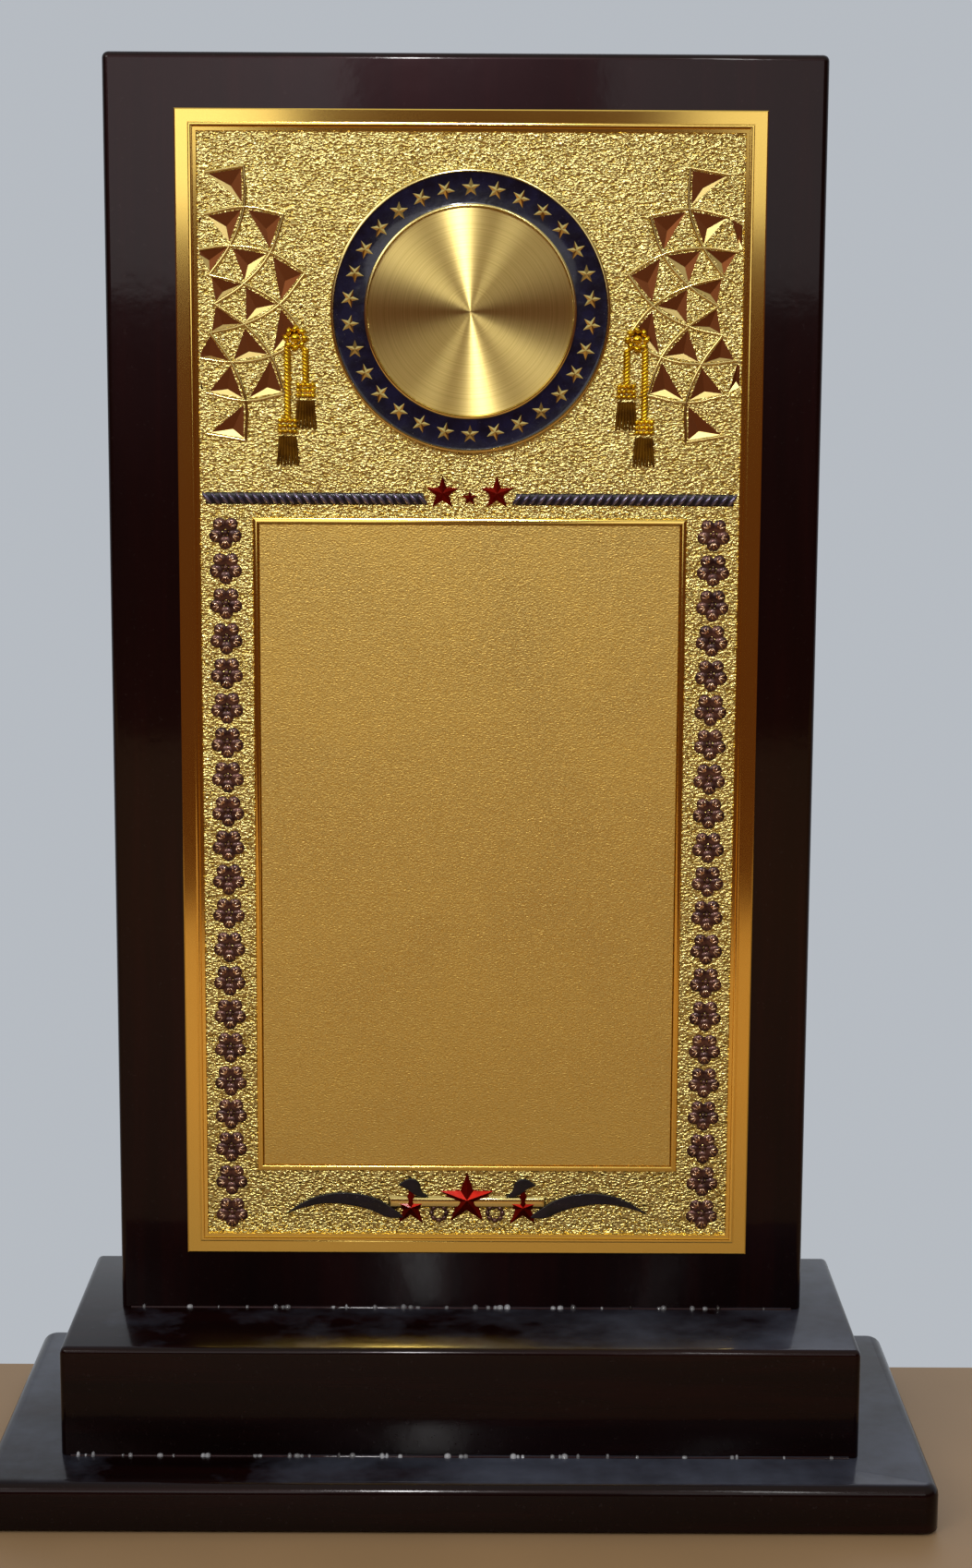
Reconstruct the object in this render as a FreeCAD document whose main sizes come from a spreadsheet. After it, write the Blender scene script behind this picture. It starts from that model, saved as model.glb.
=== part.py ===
import FreeCAD, Part

import math
import os

import Sketcher

# Free-standing award plaque: a lacquered wooden board stands on a two-tier wooden base and carries
# a die-struck gold plate with a star-ring medallion, an inscription panel and enamelled ornament.
# Frame: millimetres, +Z up, X across, the decorated face looks along -Y.  The origin is the middle
# of the underside.  Plate pieces are drawn in the plate's own frame: x from its middle, z from its
# lower edge, y = 0 on its back and -y towards the viewer.

SIZES = [
    ("board_width", 178.0, "backing board, across"),
    ("board_height", 320.0, "backing board, visible height above the block"),
    ("board_thickness", 12.0, "backing board, front to back"),
    ("board_round", 1.6, "radius along the board's edges"),
    ("block_width", 202.0, "upper tier, across"),
    ("block_depth", 72.0, "upper tier, front to back"),
    ("block_height", 28.5, "upper tier, height"),
    ("block_round", 1.6, "radius along the upper tier's edges"),
    ("plinth_width", 238.0, "lower tier, across"),
    ("plinth_depth", 108.0, "lower tier, front to back"),
    ("plinth_height", 12.0, "lower tier, height"),
    ("plinth_corner", 4.0, "radius of the lower tier's upright corners"),
    ("plinth_round", 3.0, "radius along the lower tier's top edge"),
    ("felt_inset", 3.0, "felt sheet, set in from the lower tier's edge"),
    ("felt_thickness", 0.8, "felt sheet under the lower tier"),
    ("screw_diameter", 3.5, "wood screw, thread"),
    ("screw_head", 7.0, "wood screw, countersunk head across"),
    ("screw_sink", 0.6, "depth of the screw heads below the underside"),
    ("board_screw_length", 60.0, "long screw through both tiers into the board"),
    ("board_screw_half_span", 55.0, "long screws, from the middle"),
    ("plinth_screw_length", 30.0, "short screw from the lower into the upper tier"),
    ("plinth_screw_x", 80.0, "short screws, from the middle across"),
    ("plinth_screw_y", 24.0, "short screws, from the middle front to back"),
    ("plate_width", 145.5, "award plate, across"),
    ("plate_height", 291.0, "award plate, height"),
    ("plate_thickness", 0.8, "award plate, sheet"),
    ("plate_above_block", 15.4, "award plate, lower edge above the block"),
    ("plate_shift", 1.4, "award plate, glued this far right of the middle"),
    ("plate_corner", 0.8, "award plate, corner radius"),
    ("tape_thickness", 0.5, "mounting tape under the award plate"),
    ("tape_width", 12.0, "mounting tape, strip width"),
    ("tape_inset", 6.0, "mounting tape, in from the plate's edge"),
    ("rim_inset", 3.4, "border bead, in from the plate's edge"),
    ("rim_outer_width", 1.3, "border bead, outer and taller step"),
    ("rim_outer_height", 0.9, "outer step above the sheet"),
    ("rim_inner_width", 1.0, "border bead, inner and lower step"),
    ("rim_inner_height", 0.5, "inner step above the sheet"),
    ("rim_round", 0.35, "radius on the border steps"),
    ("panel_width", 105.4, "inscription panel opening, across"),
    ("panel_height", 165.8, "inscription panel opening, height"),
    ("panel_bottom", 24.0, "inscription panel opening above the plate's lower edge"),
    ("panel_thickness", 0.4, "inscription panel, sheet"),
    ("panel_clearance", 0.1, "gap round the inscription panel"),
    ("panel_frame_width", 1.7, "raised frame round the panel"),
    ("panel_frame_height", 1.0, "raised frame above the sheet"),
    ("panel_frame_bevel", 0.5, "bevel on the raised frame"),
    ("film_thickness", 0.15, "adhesive film under the panel and the disc"),
    ("ring_height", 242.2, "medallion centre above the plate's lower edge"),
    ("ring_radius", 34.7, "medallion ring, outside"),
    ("ring_inner", 25.5, "medallion ring, inside"),
    ("ring_rim_outer", 0.9, "gold rim outside the enamel"),
    ("ring_rim_inner", 0.7, "gold rim inside the enamel"),
    ("ring_base", 0.5, "floor of the ring's channel"),
    ("ring_rim_height", 1.5, "top of the gold rims above the plate"),
    ("ring_star_radius", 2.3, "stars in the ring, centre to point"),
    ("ring_star_path", 30.0, "radius on which the ring's stars stand"),
    ("ring_star_height", 1.3, "top of the ring's stars above the plate"),
    ("enamel_height", 0.95, "top of the enamel above the plate"),
    ("disc_radius", 25.4, "spun disc, outside"),
    ("disc_thickness", 0.5, "spun disc, sheet"),
]

RING_STARS = 30
ROSETTES = 21
STAR_WAIST = 0.39

doc = FreeCAD.newDocument("award_plaque")
sheet = doc.addObject("Spreadsheet::Sheet", "sizes")
for row, (alias, value, note) in enumerate(SIZES, 1):
    sheet.set(f"A{row}", note)
    sheet.set(f"B{row}", str(value))
    sheet.setAlias(f"B{row}", alias)
doc.recompute()


def size(alias):
    return float(sheet.get(alias))


def bind(item, path, formula):
    item.setExpression(path, formula.replace("$", "sizes."))


# ---- document helpers -------------------------------------------------------------------------

def new_body(name):
    body = doc.addObject("PartDesign::Body", name)
    body.Label = name
    return body


def new_sketch(body, name, role):
    sketch = body.newObject("Sketcher::SketchObject", name)
    plane = next(f for f in body.Origin.OriginFeatures if f.Role == role)
    sketch.AttachmentSupport = [(plane, "")]
    sketch.MapMode = "FlatFace"
    return sketch


def constrain(sketch, name, formula, *arguments):
    index = sketch.addConstraint(Sketcher.Constraint(*arguments))
    sketch.renameConstraint(index, name)
    bind(sketch, f"Constraints.{name}", formula)


def rectangle(sketch, tag, width, height, across, up, foot=None):
    """Rectangle centred on the sketch's vertical axis, or standing `foot` above its origin."""
    low = -height / 2.0
    if foot is not None:
        low = foot[0]
    corners = [(-width / 2.0, low), (width / 2.0, low),
               (width / 2.0, low + height), (-width / 2.0, low + height)]
    points = [FreeCAD.Vector(x, y, 0) for x, y in corners]
    first = sketch.GeometryCount
    for start, end in zip(points, points[1:] + points[:1]):
        sketch.addGeometry(Part.LineSegment(start, end), False)
    for k in range(4):
        nxt = first + (k + 1) % 4
        sketch.addConstraint(Sketcher.Constraint("Coincident", first + k, 2, nxt, 1))
    for k, kind in enumerate(("Horizontal", "Vertical", "Horizontal", "Vertical")):
        if k or foot is None:
            sketch.addConstraint(Sketcher.Constraint(kind, first + k))
    if foot is None:
        sketch.addConstraint(Sketcher.Constraint("Symmetric", first, 1, first + 2, 1, -1, 1))
    else:
        sketch.addConstraint(Sketcher.Constraint("Symmetric", first, 1, first, 2, -2))
        if foot[1]:
            constrain(sketch, f"{tag}_foot", foot[1], "DistanceY", -1, 1, first, 1, foot[0])
        else:
            sketch.addConstraint(Sketcher.Constraint("PointOnObject", first, 1, -1))
    constrain(sketch, f"{tag}_across", across, "DistanceX", first, 1, first, 2, width)
    constrain(sketch, f"{tag}_up", up, "DistanceY", first + 1, 1, first + 1, 2, height)


def circle(sketch, tag, radius, formula, x=0.0, y=0.0, x_formula=None, y_formula=None):
    index = sketch.addGeometry(
        Part.Circle(FreeCAD.Vector(x, y, 0), FreeCAD.Vector(0, 0, 1), radius), False)
    constrain(sketch, f"{tag}_radius", formula, "Radius", index, radius)
    if x_formula:
        constrain(sketch, f"{tag}_x", x_formula, "DistanceX", -1, 1, index, 3, x)
    else:
        sketch.addConstraint(Sketcher.Constraint("PointOnObject", index, 3, -2))
    if y_formula:
        constrain(sketch, f"{tag}_y", y_formula, "DistanceY", -1, 1, index, 3, y)
    else:
        sketch.addConstraint(Sketcher.Constraint("PointOnObject", index, 3, -1))
    return index


def pad(body, sketch, name, formula, reversed_=False):
    feature = body.newObject("PartDesign::Pad", name)
    feature.Profile = sketch
    bind(feature, "Length", formula)
    feature.Reversed = reversed_
    doc.recompute()
    return feature


def edges_where(feature, test):
    return [f"Edge{k}" for k, edge in enumerate(feature.Shape.Edges, 1) if test(edge.BoundBox)]


def fillet(body, base, name, formula, test):
    feature = body.newObject("PartDesign::Fillet", name)
    feature.Base = (base, edges_where(base, test))
    bind(feature, "Radius", formula)
    doc.recompute()
    return feature


def chamfer(body, base, name, formula, test):
    feature = body.newObject("PartDesign::Chamfer", name)
    feature.Base = (base, edges_where(base, test))
    bind(feature, "Size", formula)
    doc.recompute()
    return feature


def countersunk_holes(body, sketch, name, sunk):
    """Screw holes upwards from the underside; the volume shows which way they cut."""
    before = body.Shape.Volume
    hole = body.newObject("PartDesign::Hole", name)
    hole.Profile = sketch
    doc.recompute()
    hole.DepthType = "ThroughAll"
    hole.Threaded = False
    bind(hole, "Diameter", "$screw_diameter")
    if sunk:
        hole.HoleCutType = "Countersink"
        bind(hole, "HoleCutDiameter", "$screw_head + 2 * $screw_sink")
        hole.HoleCutCountersinkAngle = 90.0
    hole.Reversed = True
    doc.recompute()
    if body.Shape.Volume >= before - 1.0:
        hole.Reversed = False
        doc.recompute()
    return hole


def place(item, x="0", y="0", z="0"):
    bind(item, ".Placement.Base.x", x)
    bind(item, ".Placement.Base.y", y)
    bind(item, ".Placement.Base.z", z)


FACE_Y = "-$board_thickness / 2 - $tape_thickness"
FOOT_Z = "$felt_thickness + $plinth_height + $block_height + $plate_above_block"


def place_on_plate(item, lift="0", z="0"):
    """Plate frame to plaque frame; `lift` is the piece's distance in front of the plate's back."""
    place(item, "$plate_shift", f"{FACE_Y} - ({lift})", f"{FOOT_Z} + {z}")


def feature(name, shape):
    item = doc.addObject("Part::Feature", name)
    item.Label = name
    item.Shape = shape
    return item


# ---- wood and its fixings ----------------------------------------------------------------------

def screw_circles(sketch, tag, places):
    for k, (x, y, x_formula, y_formula) in enumerate(places):
        radius = size("screw_diameter") / 2.0
        circle(sketch, f"{tag}{k}", radius, "$screw_diameter / 2", x, y, x_formula, y_formula)


def board_places():
    span = size("board_screw_half_span")
    return [(s * span, 0.0, f"{s} * $board_screw_half_span", None) for s in (-1, 1)]


def plinth_places():
    x, y = size("plinth_screw_x"), size("plinth_screw_y")
    return [(i * x, j * y, f"{i} * $plinth_screw_x", f"{j} * $plinth_screw_y")
            for i in (-1, 1) for j in (-1, 1)]


def make_board():
    body = new_body("backing_board")
    sketch = new_sketch(body, "board_outline", "XY_Plane")
    rectangle(sketch, "board", size("board_width"), size("board_thickness"),
              "$board_width", "$board_thickness")
    slab = pad(body, sketch, "board_slab", "$board_height")
    rounded = fillet(body, slab, "board_edges", "$board_round", lambda b: b.ZMax > 0.01)
    place(body, z="$felt_thickness + $plinth_height + $block_height")
    before = rounded.Shape.Volume
    pilot = new_sketch(body, "board_pilots", "XY_Plane")
    screw_circles(pilot, "pilot", board_places())
    pocket = body.newObject("PartDesign::Pocket", "board_pilot_holes")
    pocket.Profile = pilot
    bind(pocket, "Length", "$board_screw_length + $screw_sink - $plinth_height - $block_height")
    pocket.Reversed = True
    doc.recompute()
    if pocket.Shape.Volume >= before:
        raise RuntimeError("the board's pilot holes cut nothing")


def make_tier(name, tag, width, depth, height):
    body = new_body(name)
    sketch = new_sketch(body, f"{tag}_outline", "XY_Plane")
    rectangle(sketch, tag, size(width), size(depth), f"${width}", f"${depth}")
    slab = pad(body, sketch, f"{tag}_slab", f"${height}")
    return body, slab


def make_block():
    body, slab = make_tier("base_block", "block", "block_width", "block_depth", "block_height")
    fillet(body, slab, "block_edges", "$block_round", lambda b: b.ZMax > 0.01)
    sketch = new_sketch(body, "block_through_holes", "XY_Plane")
    screw_circles(sketch, "through", board_places())
    countersunk_holes(body, sketch, "block_through", False)
    before = body.Shape.Volume
    pilot = new_sketch(body, "block_pilots", "XY_Plane")
    screw_circles(pilot, "pilot", plinth_places())
    pocket = body.newObject("PartDesign::Pocket", "block_pilot_holes")
    pocket.Profile = pilot
    bind(pocket, "Length", "$plinth_screw_length + $screw_sink - $plinth_height")
    pocket.Reversed = True
    doc.recompute()
    if body.Shape.Volume >= before:
        raise RuntimeError("the block's pilot holes cut nothing")
    place(body, z="$felt_thickness + $plinth_height")


def make_plinth():
    body, slab = make_tier("base_plinth", "plinth", "plinth_width", "plinth_depth",
                           "plinth_height")
    upright = fillet(body, slab, "plinth_corners", "$plinth_corner", lambda b: b.ZLength > 1.0)
    top = size("plinth_height")
    fillet(body, upright, "plinth_edge", "$plinth_round", lambda b: b.ZMin > top - 0.01)
    sketch = new_sketch(body, "plinth_screw_holes", "XY_Plane")
    screw_circles(sketch, "screw", board_places() + plinth_places())
    countersunk_holes(body, sketch, "plinth_screws_sunk", True)
    place(body, z="$felt_thickness")


def make_felt():
    body = new_body("base_felt")
    sketch = new_sketch(body, "felt_outline", "XY_Plane")
    inset = 2 * size("felt_inset")
    rectangle(sketch, "felt", size("plinth_width") - inset, size("plinth_depth") - inset,
              "$plinth_width - 2 * $felt_inset", "$plinth_depth - 2 * $felt_inset")
    slab = pad(body, sketch, "felt_sheet", "$felt_thickness")
    fillet(body, slab, "felt_corners", "$plinth_corner - 1", lambda b: b.ZLength > 0.5)


def screw_solid(length):
    """Countersunk wood screw standing on its head, with a cross recess in the head."""
    thread, head = size("screw_diameter") / 2.0, size("screw_head") / 2.0
    cone = head - thread
    tip = 2.0 * thread
    profile = [(0, 0), (head, 0), (thread, cone), (thread, length - tip), (0, length)]
    points = [FreeCAD.Vector(r, 0, z) for r, z in profile]
    face = Part.Face(Part.makePolygon(points + points[:1]))
    shape = face.revolve(FreeCAD.Vector(), FreeCAD.Vector(0, 0, 1), 360)
    for wide, deep in ((0.9 * head, 0.25 * head), (0.25 * head, 0.9 * head)):
        slot = Part.makeBox(wide, deep, 1.2, FreeCAD.Vector(-wide / 2, -deep / 2, 0))
        shape = shape.cut(slot)
    return shape


def make_screws(name, length, places):
    solid = screw_solid(size(length))
    spots = [FreeCAD.Vector(x, y, 0) for x, y, _, _ in places]
    item = feature(name, Part.makeCompound([solid.translated(spot) for spot in spots]))
    place(item, z="$felt_thickness + $screw_sink")


# ---- the struck plate --------------------------------------------------------------------------

def frame_step(body, base_name, tag, width, height, band, foot, length):
    """A raised rectangular band standing on the plate's back plane."""
    sketch = new_sketch(body, f"{tag}_outline", "XZ_Plane")
    w, h, b, f = (value for value, _ in (width, height, band, foot))
    wf, hf, bf, ff = (formula for _, formula in (width, height, band, foot))
    rectangle(sketch, "outer", w, h, wf, hf, (f, ff))
    rectangle(sketch, "inner", w - 2 * b, h - 2 * b, f"{wf} - 2 * ({bf})", f"{hf} - 2 * ({bf})",
              (f + b, f"{ff} + {bf}"))
    return pad(body, sketch, base_name, length)


def front_edges(depth, reach=None):
    def test(box):
        flat = abs(box.YMin + depth) < 0.01 and abs(box.YMax + depth) < 0.01
        return flat and (reach is None or reach(box))
    return test


def make_plate_body():
    body = new_body("plate_sheet")
    w, h, t = size("plate_width"), size("plate_height"), size("plate_thickness")
    sketch = new_sketch(body, "plate_outline", "XZ_Plane")
    rectangle(sketch, "plate", w, h, "$plate_width", "$plate_height", (0.0, None))
    blank = pad(body, sketch, "plate_blank", "$plate_thickness")
    fillet(body, blank, "plate_corners", "$plate_corner", lambda b: b.YLength > 0.5)

    inset, wide = size("rim_inset"), size("rim_outer_width")
    outer = frame_step(
        body, "rim_outer", "rim_outer",
        (w - 2 * inset, "$plate_width - 2 * $rim_inset"),
        (h - 2 * inset, "$plate_height - 2 * $rim_inset"),
        (wide, "$rim_outer_width"), (inset, "$rim_inset"),
        "$plate_thickness + $rim_outer_height")
    top = t + size("rim_outer_height")
    fillet(body, outer, "rim_outer_round", "$rim_round", front_edges(top))

    start = inset + wide
    inner = frame_step(
        body, "rim_inner", "rim_inner",
        (w - 2 * start, "$plate_width - 2 * ($rim_inset + $rim_outer_width)"),
        (h - 2 * start, "$plate_height - 2 * ($rim_inset + $rim_outer_width)"),
        (size("rim_inner_width"), "$rim_inner_width"),
        (start, "$rim_inset + $rim_outer_width"),
        "$plate_thickness + $rim_inner_height")
    low = t + size("rim_inner_height")
    edge = w / 2.0 - start - size("rim_inner_width")
    fillet(body, inner, "rim_inner_round", "$rim_round",
           front_edges(low, lambda b: max(abs(b.XMin), abs(b.XMax)) < edge + 0.01))

    band = size("panel_frame_width")
    frame = frame_step(
        body, "panel_frame", "panel_frame",
        (size("panel_width") + 2 * band, "$panel_width + 2 * $panel_frame_width"),
        (size("panel_height") + 2 * band, "$panel_height + 2 * $panel_frame_width"),
        (band, "$panel_frame_width"),
        (size("panel_bottom") - band, "$panel_bottom - $panel_frame_width"),
        "$plate_thickness + $panel_frame_height")
    high = t + size("panel_frame_height")
    chamfer(body, frame, "panel_frame_bevel", "$panel_frame_bevel",
            front_edges(high, lambda b: abs(b.XMin) < 60.0 and abs(b.XMax) < 60.0))
    return body


# Corner lattice: points on four rings about a centre beyond each side edge.  Neighbouring rings
# are turned half a step against each other, so the points make rows of triangles.
LATTICE_CENTRE_X = 82.8
LATTICE_SHIFT = -1.0
LATTICE_Z = 243.8
LATTICE_RINGS = (43.6, 36.7, 28.3, 20.6)
LATTICE_STEP = 10.0


def lattice_point(side, ring, steps):
    angle = math.radians(steps * LATTICE_STEP)
    radius = LATTICE_RINGS[ring]
    x = LATTICE_CENTRE_X - radius * math.cos(angle)
    return FreeCAD.Vector(side * x + LATTICE_SHIFT, 0, LATTICE_Z + radius * math.sin(angle))


def field_box(deep):
    """The plate's field inside the border steps, from its back to `deep` in front of it."""
    edge = size("rim_inset") + size("rim_outer_width") + size("rim_inner_width")
    half = size("plate_width") / 2.0 - edge
    return Part.makeBox(2 * half, deep, size("plate_height") - 2 * edge,
                        FreeCAD.Vector(-half, -deep, edge))


def triangle_pit(corners, depth, margin):
    """Three-sided pit sunk into the plate's face, inset from the lattice lines."""
    face_y = -size("plate_thickness")
    middle = (corners[0] + corners[1] + corners[2]) * (1.0 / 3.0)
    rim = [middle + (corner - middle) * margin for corner in corners]
    for point in rim:
        point.y = face_y - 0.05
    apex = FreeCAD.Vector(middle.x, face_y + depth, middle.z)
    faces = [Part.Face(Part.makePolygon([rim[k], rim[(k + 1) % 3], apex, rim[k]]))
             for k in range(3)]
    faces.append(Part.Face(Part.makePolygon(rim + rim[:1])))
    solid = Part.Solid(Part.Shell(faces))
    if solid.Volume < 0:
        solid.reverse()
    return solid


def lattice_pits():
    pits = []
    for side in (-1, 1):
        for ring in (0, 1, 2):
            tips = (5, 3, 1, -1, -3, -5) if ring % 2 == 0 else (4, 2, 0, -2, -4)
            for tip in tips:
                corners = [lattice_point(side, ring, tip),
                           lattice_point(side, ring + 1, tip + 1),
                           lattice_point(side, ring + 1, tip - 1)]
                pits.append(triangle_pit(corners, 0.45, 0.82))
    return Part.makeCompound(pits).common(field_box(3.0))


def line_strip(points, width, height):
    """Raised line of even width through the given points."""
    curve = Part.BSplineCurve()
    curve.interpolate(points)
    count = 4 * (len(points) - 1)
    first, last = curve.FirstParameter, curve.LastParameter
    left, right = [], []
    for k in range(count + 1):
        u = first + (last - first) * k / count
        spot = curve.value(u)
        along = curve.tangent(u)[0]
        aside = FreeCAD.Vector(-along.z, 0, along.x) * (width / 2.0)
        left.append(spot + aside)
        right.append(spot - aside)
    outline = left + right[::-1]
    face = Part.Face(Part.makePolygon(outline + outline[:1]))
    back = -0.5 * size("plate_thickness")
    face.translate(FreeCAD.Vector(0, back, 0))
    return face.extrude(FreeCAD.Vector(0, back - height, 0))


def lattice_lines():
    strips = []
    for side in (-1, 1):
        for start in (5, 3, 1, -1, -3, -5):
            for turn in (1, -1):
                chain = [lattice_point(side, ring, start + turn * ring) for ring in range(4)
                         if abs(start + turn * ring) <= 6]
                if len(chain) > 1:
                    strips.append(line_strip(chain, 0.6, 0.3))
    whole = strips[0].multiFuse(strips[1:])
    return whole.common(field_box(3.0))


def make_award_plate():
    body = make_plate_body()
    pits = feature("lattice_pit_tools", lattice_pits())
    lines = feature("lattice_line_set", lattice_lines())
    band = doc.addObject("Part::Box", "emblem_band")
    band.Length, band.Height = 41.0, 3.4
    bind(band, "Width", "$plate_thickness / 2 + 0.25")
    place(band, "-20.5", "-$plate_thickness - 0.25", "12.2")
    sunk = doc.addObject("Part::Cut", "plate_with_pits")
    sunk.Base, sunk.Tool = body, pits
    whole = doc.addObject("Part::MultiFuse", "award_plate")
    whole.Shapes = [sunk, lines, band]
    whole.Label = "award_plate"
    place_on_plate(whole)
    doc.recompute()


def make_tapes():
    """Four strips of double-sided tape round the back of the plate."""
    w, h = size("plate_width"), size("plate_height")
    inset, wide, deep = size("tape_inset"), size("tape_width"), size("tape_thickness")
    strips = []
    for x in (-w / 2 + inset, w / 2 - inset - wide):
        strips.append(Part.makeBox(wide, deep, h - 2 * inset, FreeCAD.Vector(x, 0, inset)))
    span = w - 2 * inset - 2 * wide - 4
    for z in (inset, h - inset - wide):
        strips.append(Part.makeBox(span, deep, wide, FreeCAD.Vector(-span / 2, 0, z)))
    place_on_plate(feature("plate_tape", Part.makeCompound(strips)))


def make_panel():
    gap = size("panel_clearance")
    w, h = size("panel_width") - 2 * gap, size("panel_height") - 2 * gap
    for name, inset, length, lift in (
            ("panel_film", 2.0, "$film_thickness", "$plate_thickness"),
            ("inscription_panel", 0.0, "$panel_thickness", "$plate_thickness + $film_thickness")):
        body = new_body(name)
        sketch = new_sketch(body, f"{name}_outline", "XZ_Plane")
        trim = f"2 * $panel_clearance + {2 * inset}"
        rectangle(sketch, "panel", w - 2 * inset, h - 2 * inset, f"$panel_width - ({trim})",
                  f"$panel_height - ({trim})", (gap + inset, f"$panel_clearance + {inset}"))
        pad(body, sketch, f"{name}_sheet", length)
        place_on_plate(body, lift, "$panel_bottom")


# ---- the medallion -----------------------------------------------------------------------------

def make_disc():
    for name, radius, formula, length, lift in (
            ("disc_film", size("disc_radius") - 1.0, "$disc_radius - 1", "$film_thickness",
             "$plate_thickness"),
            ("medallion_disc", size("disc_radius"), "$disc_radius", "$disc_thickness",
             "$plate_thickness + $film_thickness")):
        body = new_body(name)
        sketch = new_sketch(body, f"{name}_outline", "XZ_Plane")
        circle(sketch, "disc", radius, formula)
        pad(body, sketch, f"{name}_sheet", length)
        place_on_plate(body, lift, "$ring_height")


def star_points(x, y, radius, turn=0.0):
    points = []
    for k in range(10):
        reach = radius if k % 2 == 0 else radius * STAR_WAIST
        angle = math.radians(36 * k + turn)
        points.append((x + reach * math.sin(angle), y + reach * math.cos(angle)))
    return points


def star_sketch(body, name, centre_y, formula):
    """Five-pointed star, tip up: points on two construction circles, all ten edges equal."""
    sketch = new_sketch(body, name, "XZ_Plane")
    radius = size("ring_star_radius")
    points = [FreeCAD.Vector(x, y, 0) for x, y in star_points(0.0, centre_y, radius)]
    for start, end in zip(points, points[1:] + points[:1]):
        sketch.addGeometry(Part.LineSegment(start, end), False)
    for k in range(10):
        sketch.addConstraint(Sketcher.Constraint("Coincident", k, 2, (k + 1) % 10, 1))
    for k, (share, text) in enumerate(((1.0, "1"), (STAR_WAIST, str(STAR_WAIST)))):
        index = sketch.addGeometry(Part.Circle(
            FreeCAD.Vector(0, centre_y, 0), FreeCAD.Vector(0, 0, 1), radius * share), True)
        constrain(sketch, f"circle{k}", f"$ring_star_radius * {text}", "Radius", index,
                  radius * share)
        constrain(sketch, f"centre{k}", formula, "DistanceY", -1, 1, index, 3, centre_y)
        sketch.addConstraint(Sketcher.Constraint("PointOnObject", index, 3, -2))
        for vertex in range(k, 10, 2):
            sketch.addConstraint(Sketcher.Constraint("PointOnObject", vertex, 1, index))
    for k in range(1, 10):
        sketch.addConstraint(Sketcher.Constraint("Equal", 0, k))
    sketch.addConstraint(Sketcher.Constraint("PointOnObject", 0, 1, -2))
    return sketch


def star_half(body, kind, tag, sign, length):
    """Half of the ring's stars: one padded or pocketed star and its polar pattern."""
    path = size("ring_star_path")
    sketch = star_sketch(body, f"{tag}_sketch", sign * path, f"{sign} * $ring_star_path")
    item = body.newObject(f"PartDesign::{kind}", tag)
    item.Profile = sketch
    bind(item, "Length", length)
    before = body.Shape.Volume
    if kind == "Pocket":
        item.Reversed = True
    doc.recompute()
    pattern = body.newObject("PartDesign::PolarPattern", f"{tag}_pattern")
    pattern.Originals = [item]
    pattern.Axis = (sketch, ["N_Axis"])
    pattern.Reversed = True
    pattern.Angle = 180.0 - 360.0 / RING_STARS
    pattern.Occurrences = RING_STARS // 2
    body.Tip = pattern
    doc.recompute()
    grown = body.Shape.Volume - before
    if (grown > 0) != (kind == "Pad"):
        raise RuntimeError(f"{tag} changed the ring the wrong way")


def make_ring():
    outer, inner = size("ring_radius"), size("ring_inner")
    rim, lip = size("ring_rim_outer"), size("ring_rim_inner")
    body = new_body("medallion_ring")
    base = new_sketch(body, "ring_floor_outline", "XZ_Plane")
    circle(base, "outer", outer, "$ring_radius")
    circle(base, "inner", inner, "$ring_inner")
    pad(body, base, "ring_floor", "$ring_base")
    for tag, big, small in (
            ("ring_rim", (outer, "$ring_radius"),
             (outer - rim, "$ring_radius - $ring_rim_outer")),
            ("ring_lip", (inner + lip, "$ring_inner + $ring_rim_inner"),
             (inner, "$ring_inner"))):
        sketch = new_sketch(body, f"{tag}_outline", "XZ_Plane")
        circle(sketch, "big", *big)
        circle(sketch, "small", *small)
        step = pad(body, sketch, tag, "$ring_rim_height")
    top = size("ring_rim_height")
    fillet(body, step, "ring_rounds", "0.3", front_edges(top))
    star_half(body, "Pad", "stars_right", 1, "$ring_star_height")
    star_half(body, "Pad", "stars_left", -1, "$ring_star_height")
    place_on_plate(body, "$plate_thickness", "$ring_height")

    fill = new_body("ring_enamel")
    sketch = new_sketch(fill, "enamel_outline", "XZ_Plane")
    circle(sketch, "big", outer - rim, "$ring_radius - $ring_rim_outer")
    circle(sketch, "small", inner + lip, "$ring_inner + $ring_rim_inner")
    pad(fill, sketch, "enamel_fill", "$enamel_height - $ring_base")
    star_half(fill, "Pocket", "gaps_right", 1, "$enamel_height")
    star_half(fill, "Pocket", "gaps_left", -1, "$enamel_height")
    place_on_plate(fill, "$plate_thickness + $ring_base", "$ring_height")


# ---- enamelled ornament ------------------------------------------------------------------------

def on_face(item):
    place_on_plate(item, "$plate_thickness")


def peaked_star(x, z, radius, height, turn=0.0):
    """Ten-facet star, flat on the plate and rising to a point over its middle."""
    rim = [FreeCAD.Vector(px, 0, pz) for px, pz in star_points(x, z, radius, turn)]
    apex = FreeCAD.Vector(x, -height, z)
    faces = [Part.Face(Part.makePolygon([rim[k], rim[(k + 1) % 10], apex, rim[k]]))
             for k in range(10)]
    faces.append(Part.Face(Part.makePolygon(rim + rim[:1])))
    solid = Part.Solid(Part.Shell(faces))
    if solid.Volume < 0:
        solid.reverse()
    return solid


def dome(x, z, radius, height):
    """Cap of a sphere standing on the plate."""
    ball = (radius * radius + height * height) / (2.0 * height)
    sphere = Part.makeSphere(ball, FreeCAD.Vector(x, ball - height, z))
    keep = Part.makeBox(4 * ball, height + 0.1, 4 * ball,
                        FreeCAD.Vector(x - 2 * ball, -height - 0.1, z - 2 * ball))
    return sphere.common(keep)


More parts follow.
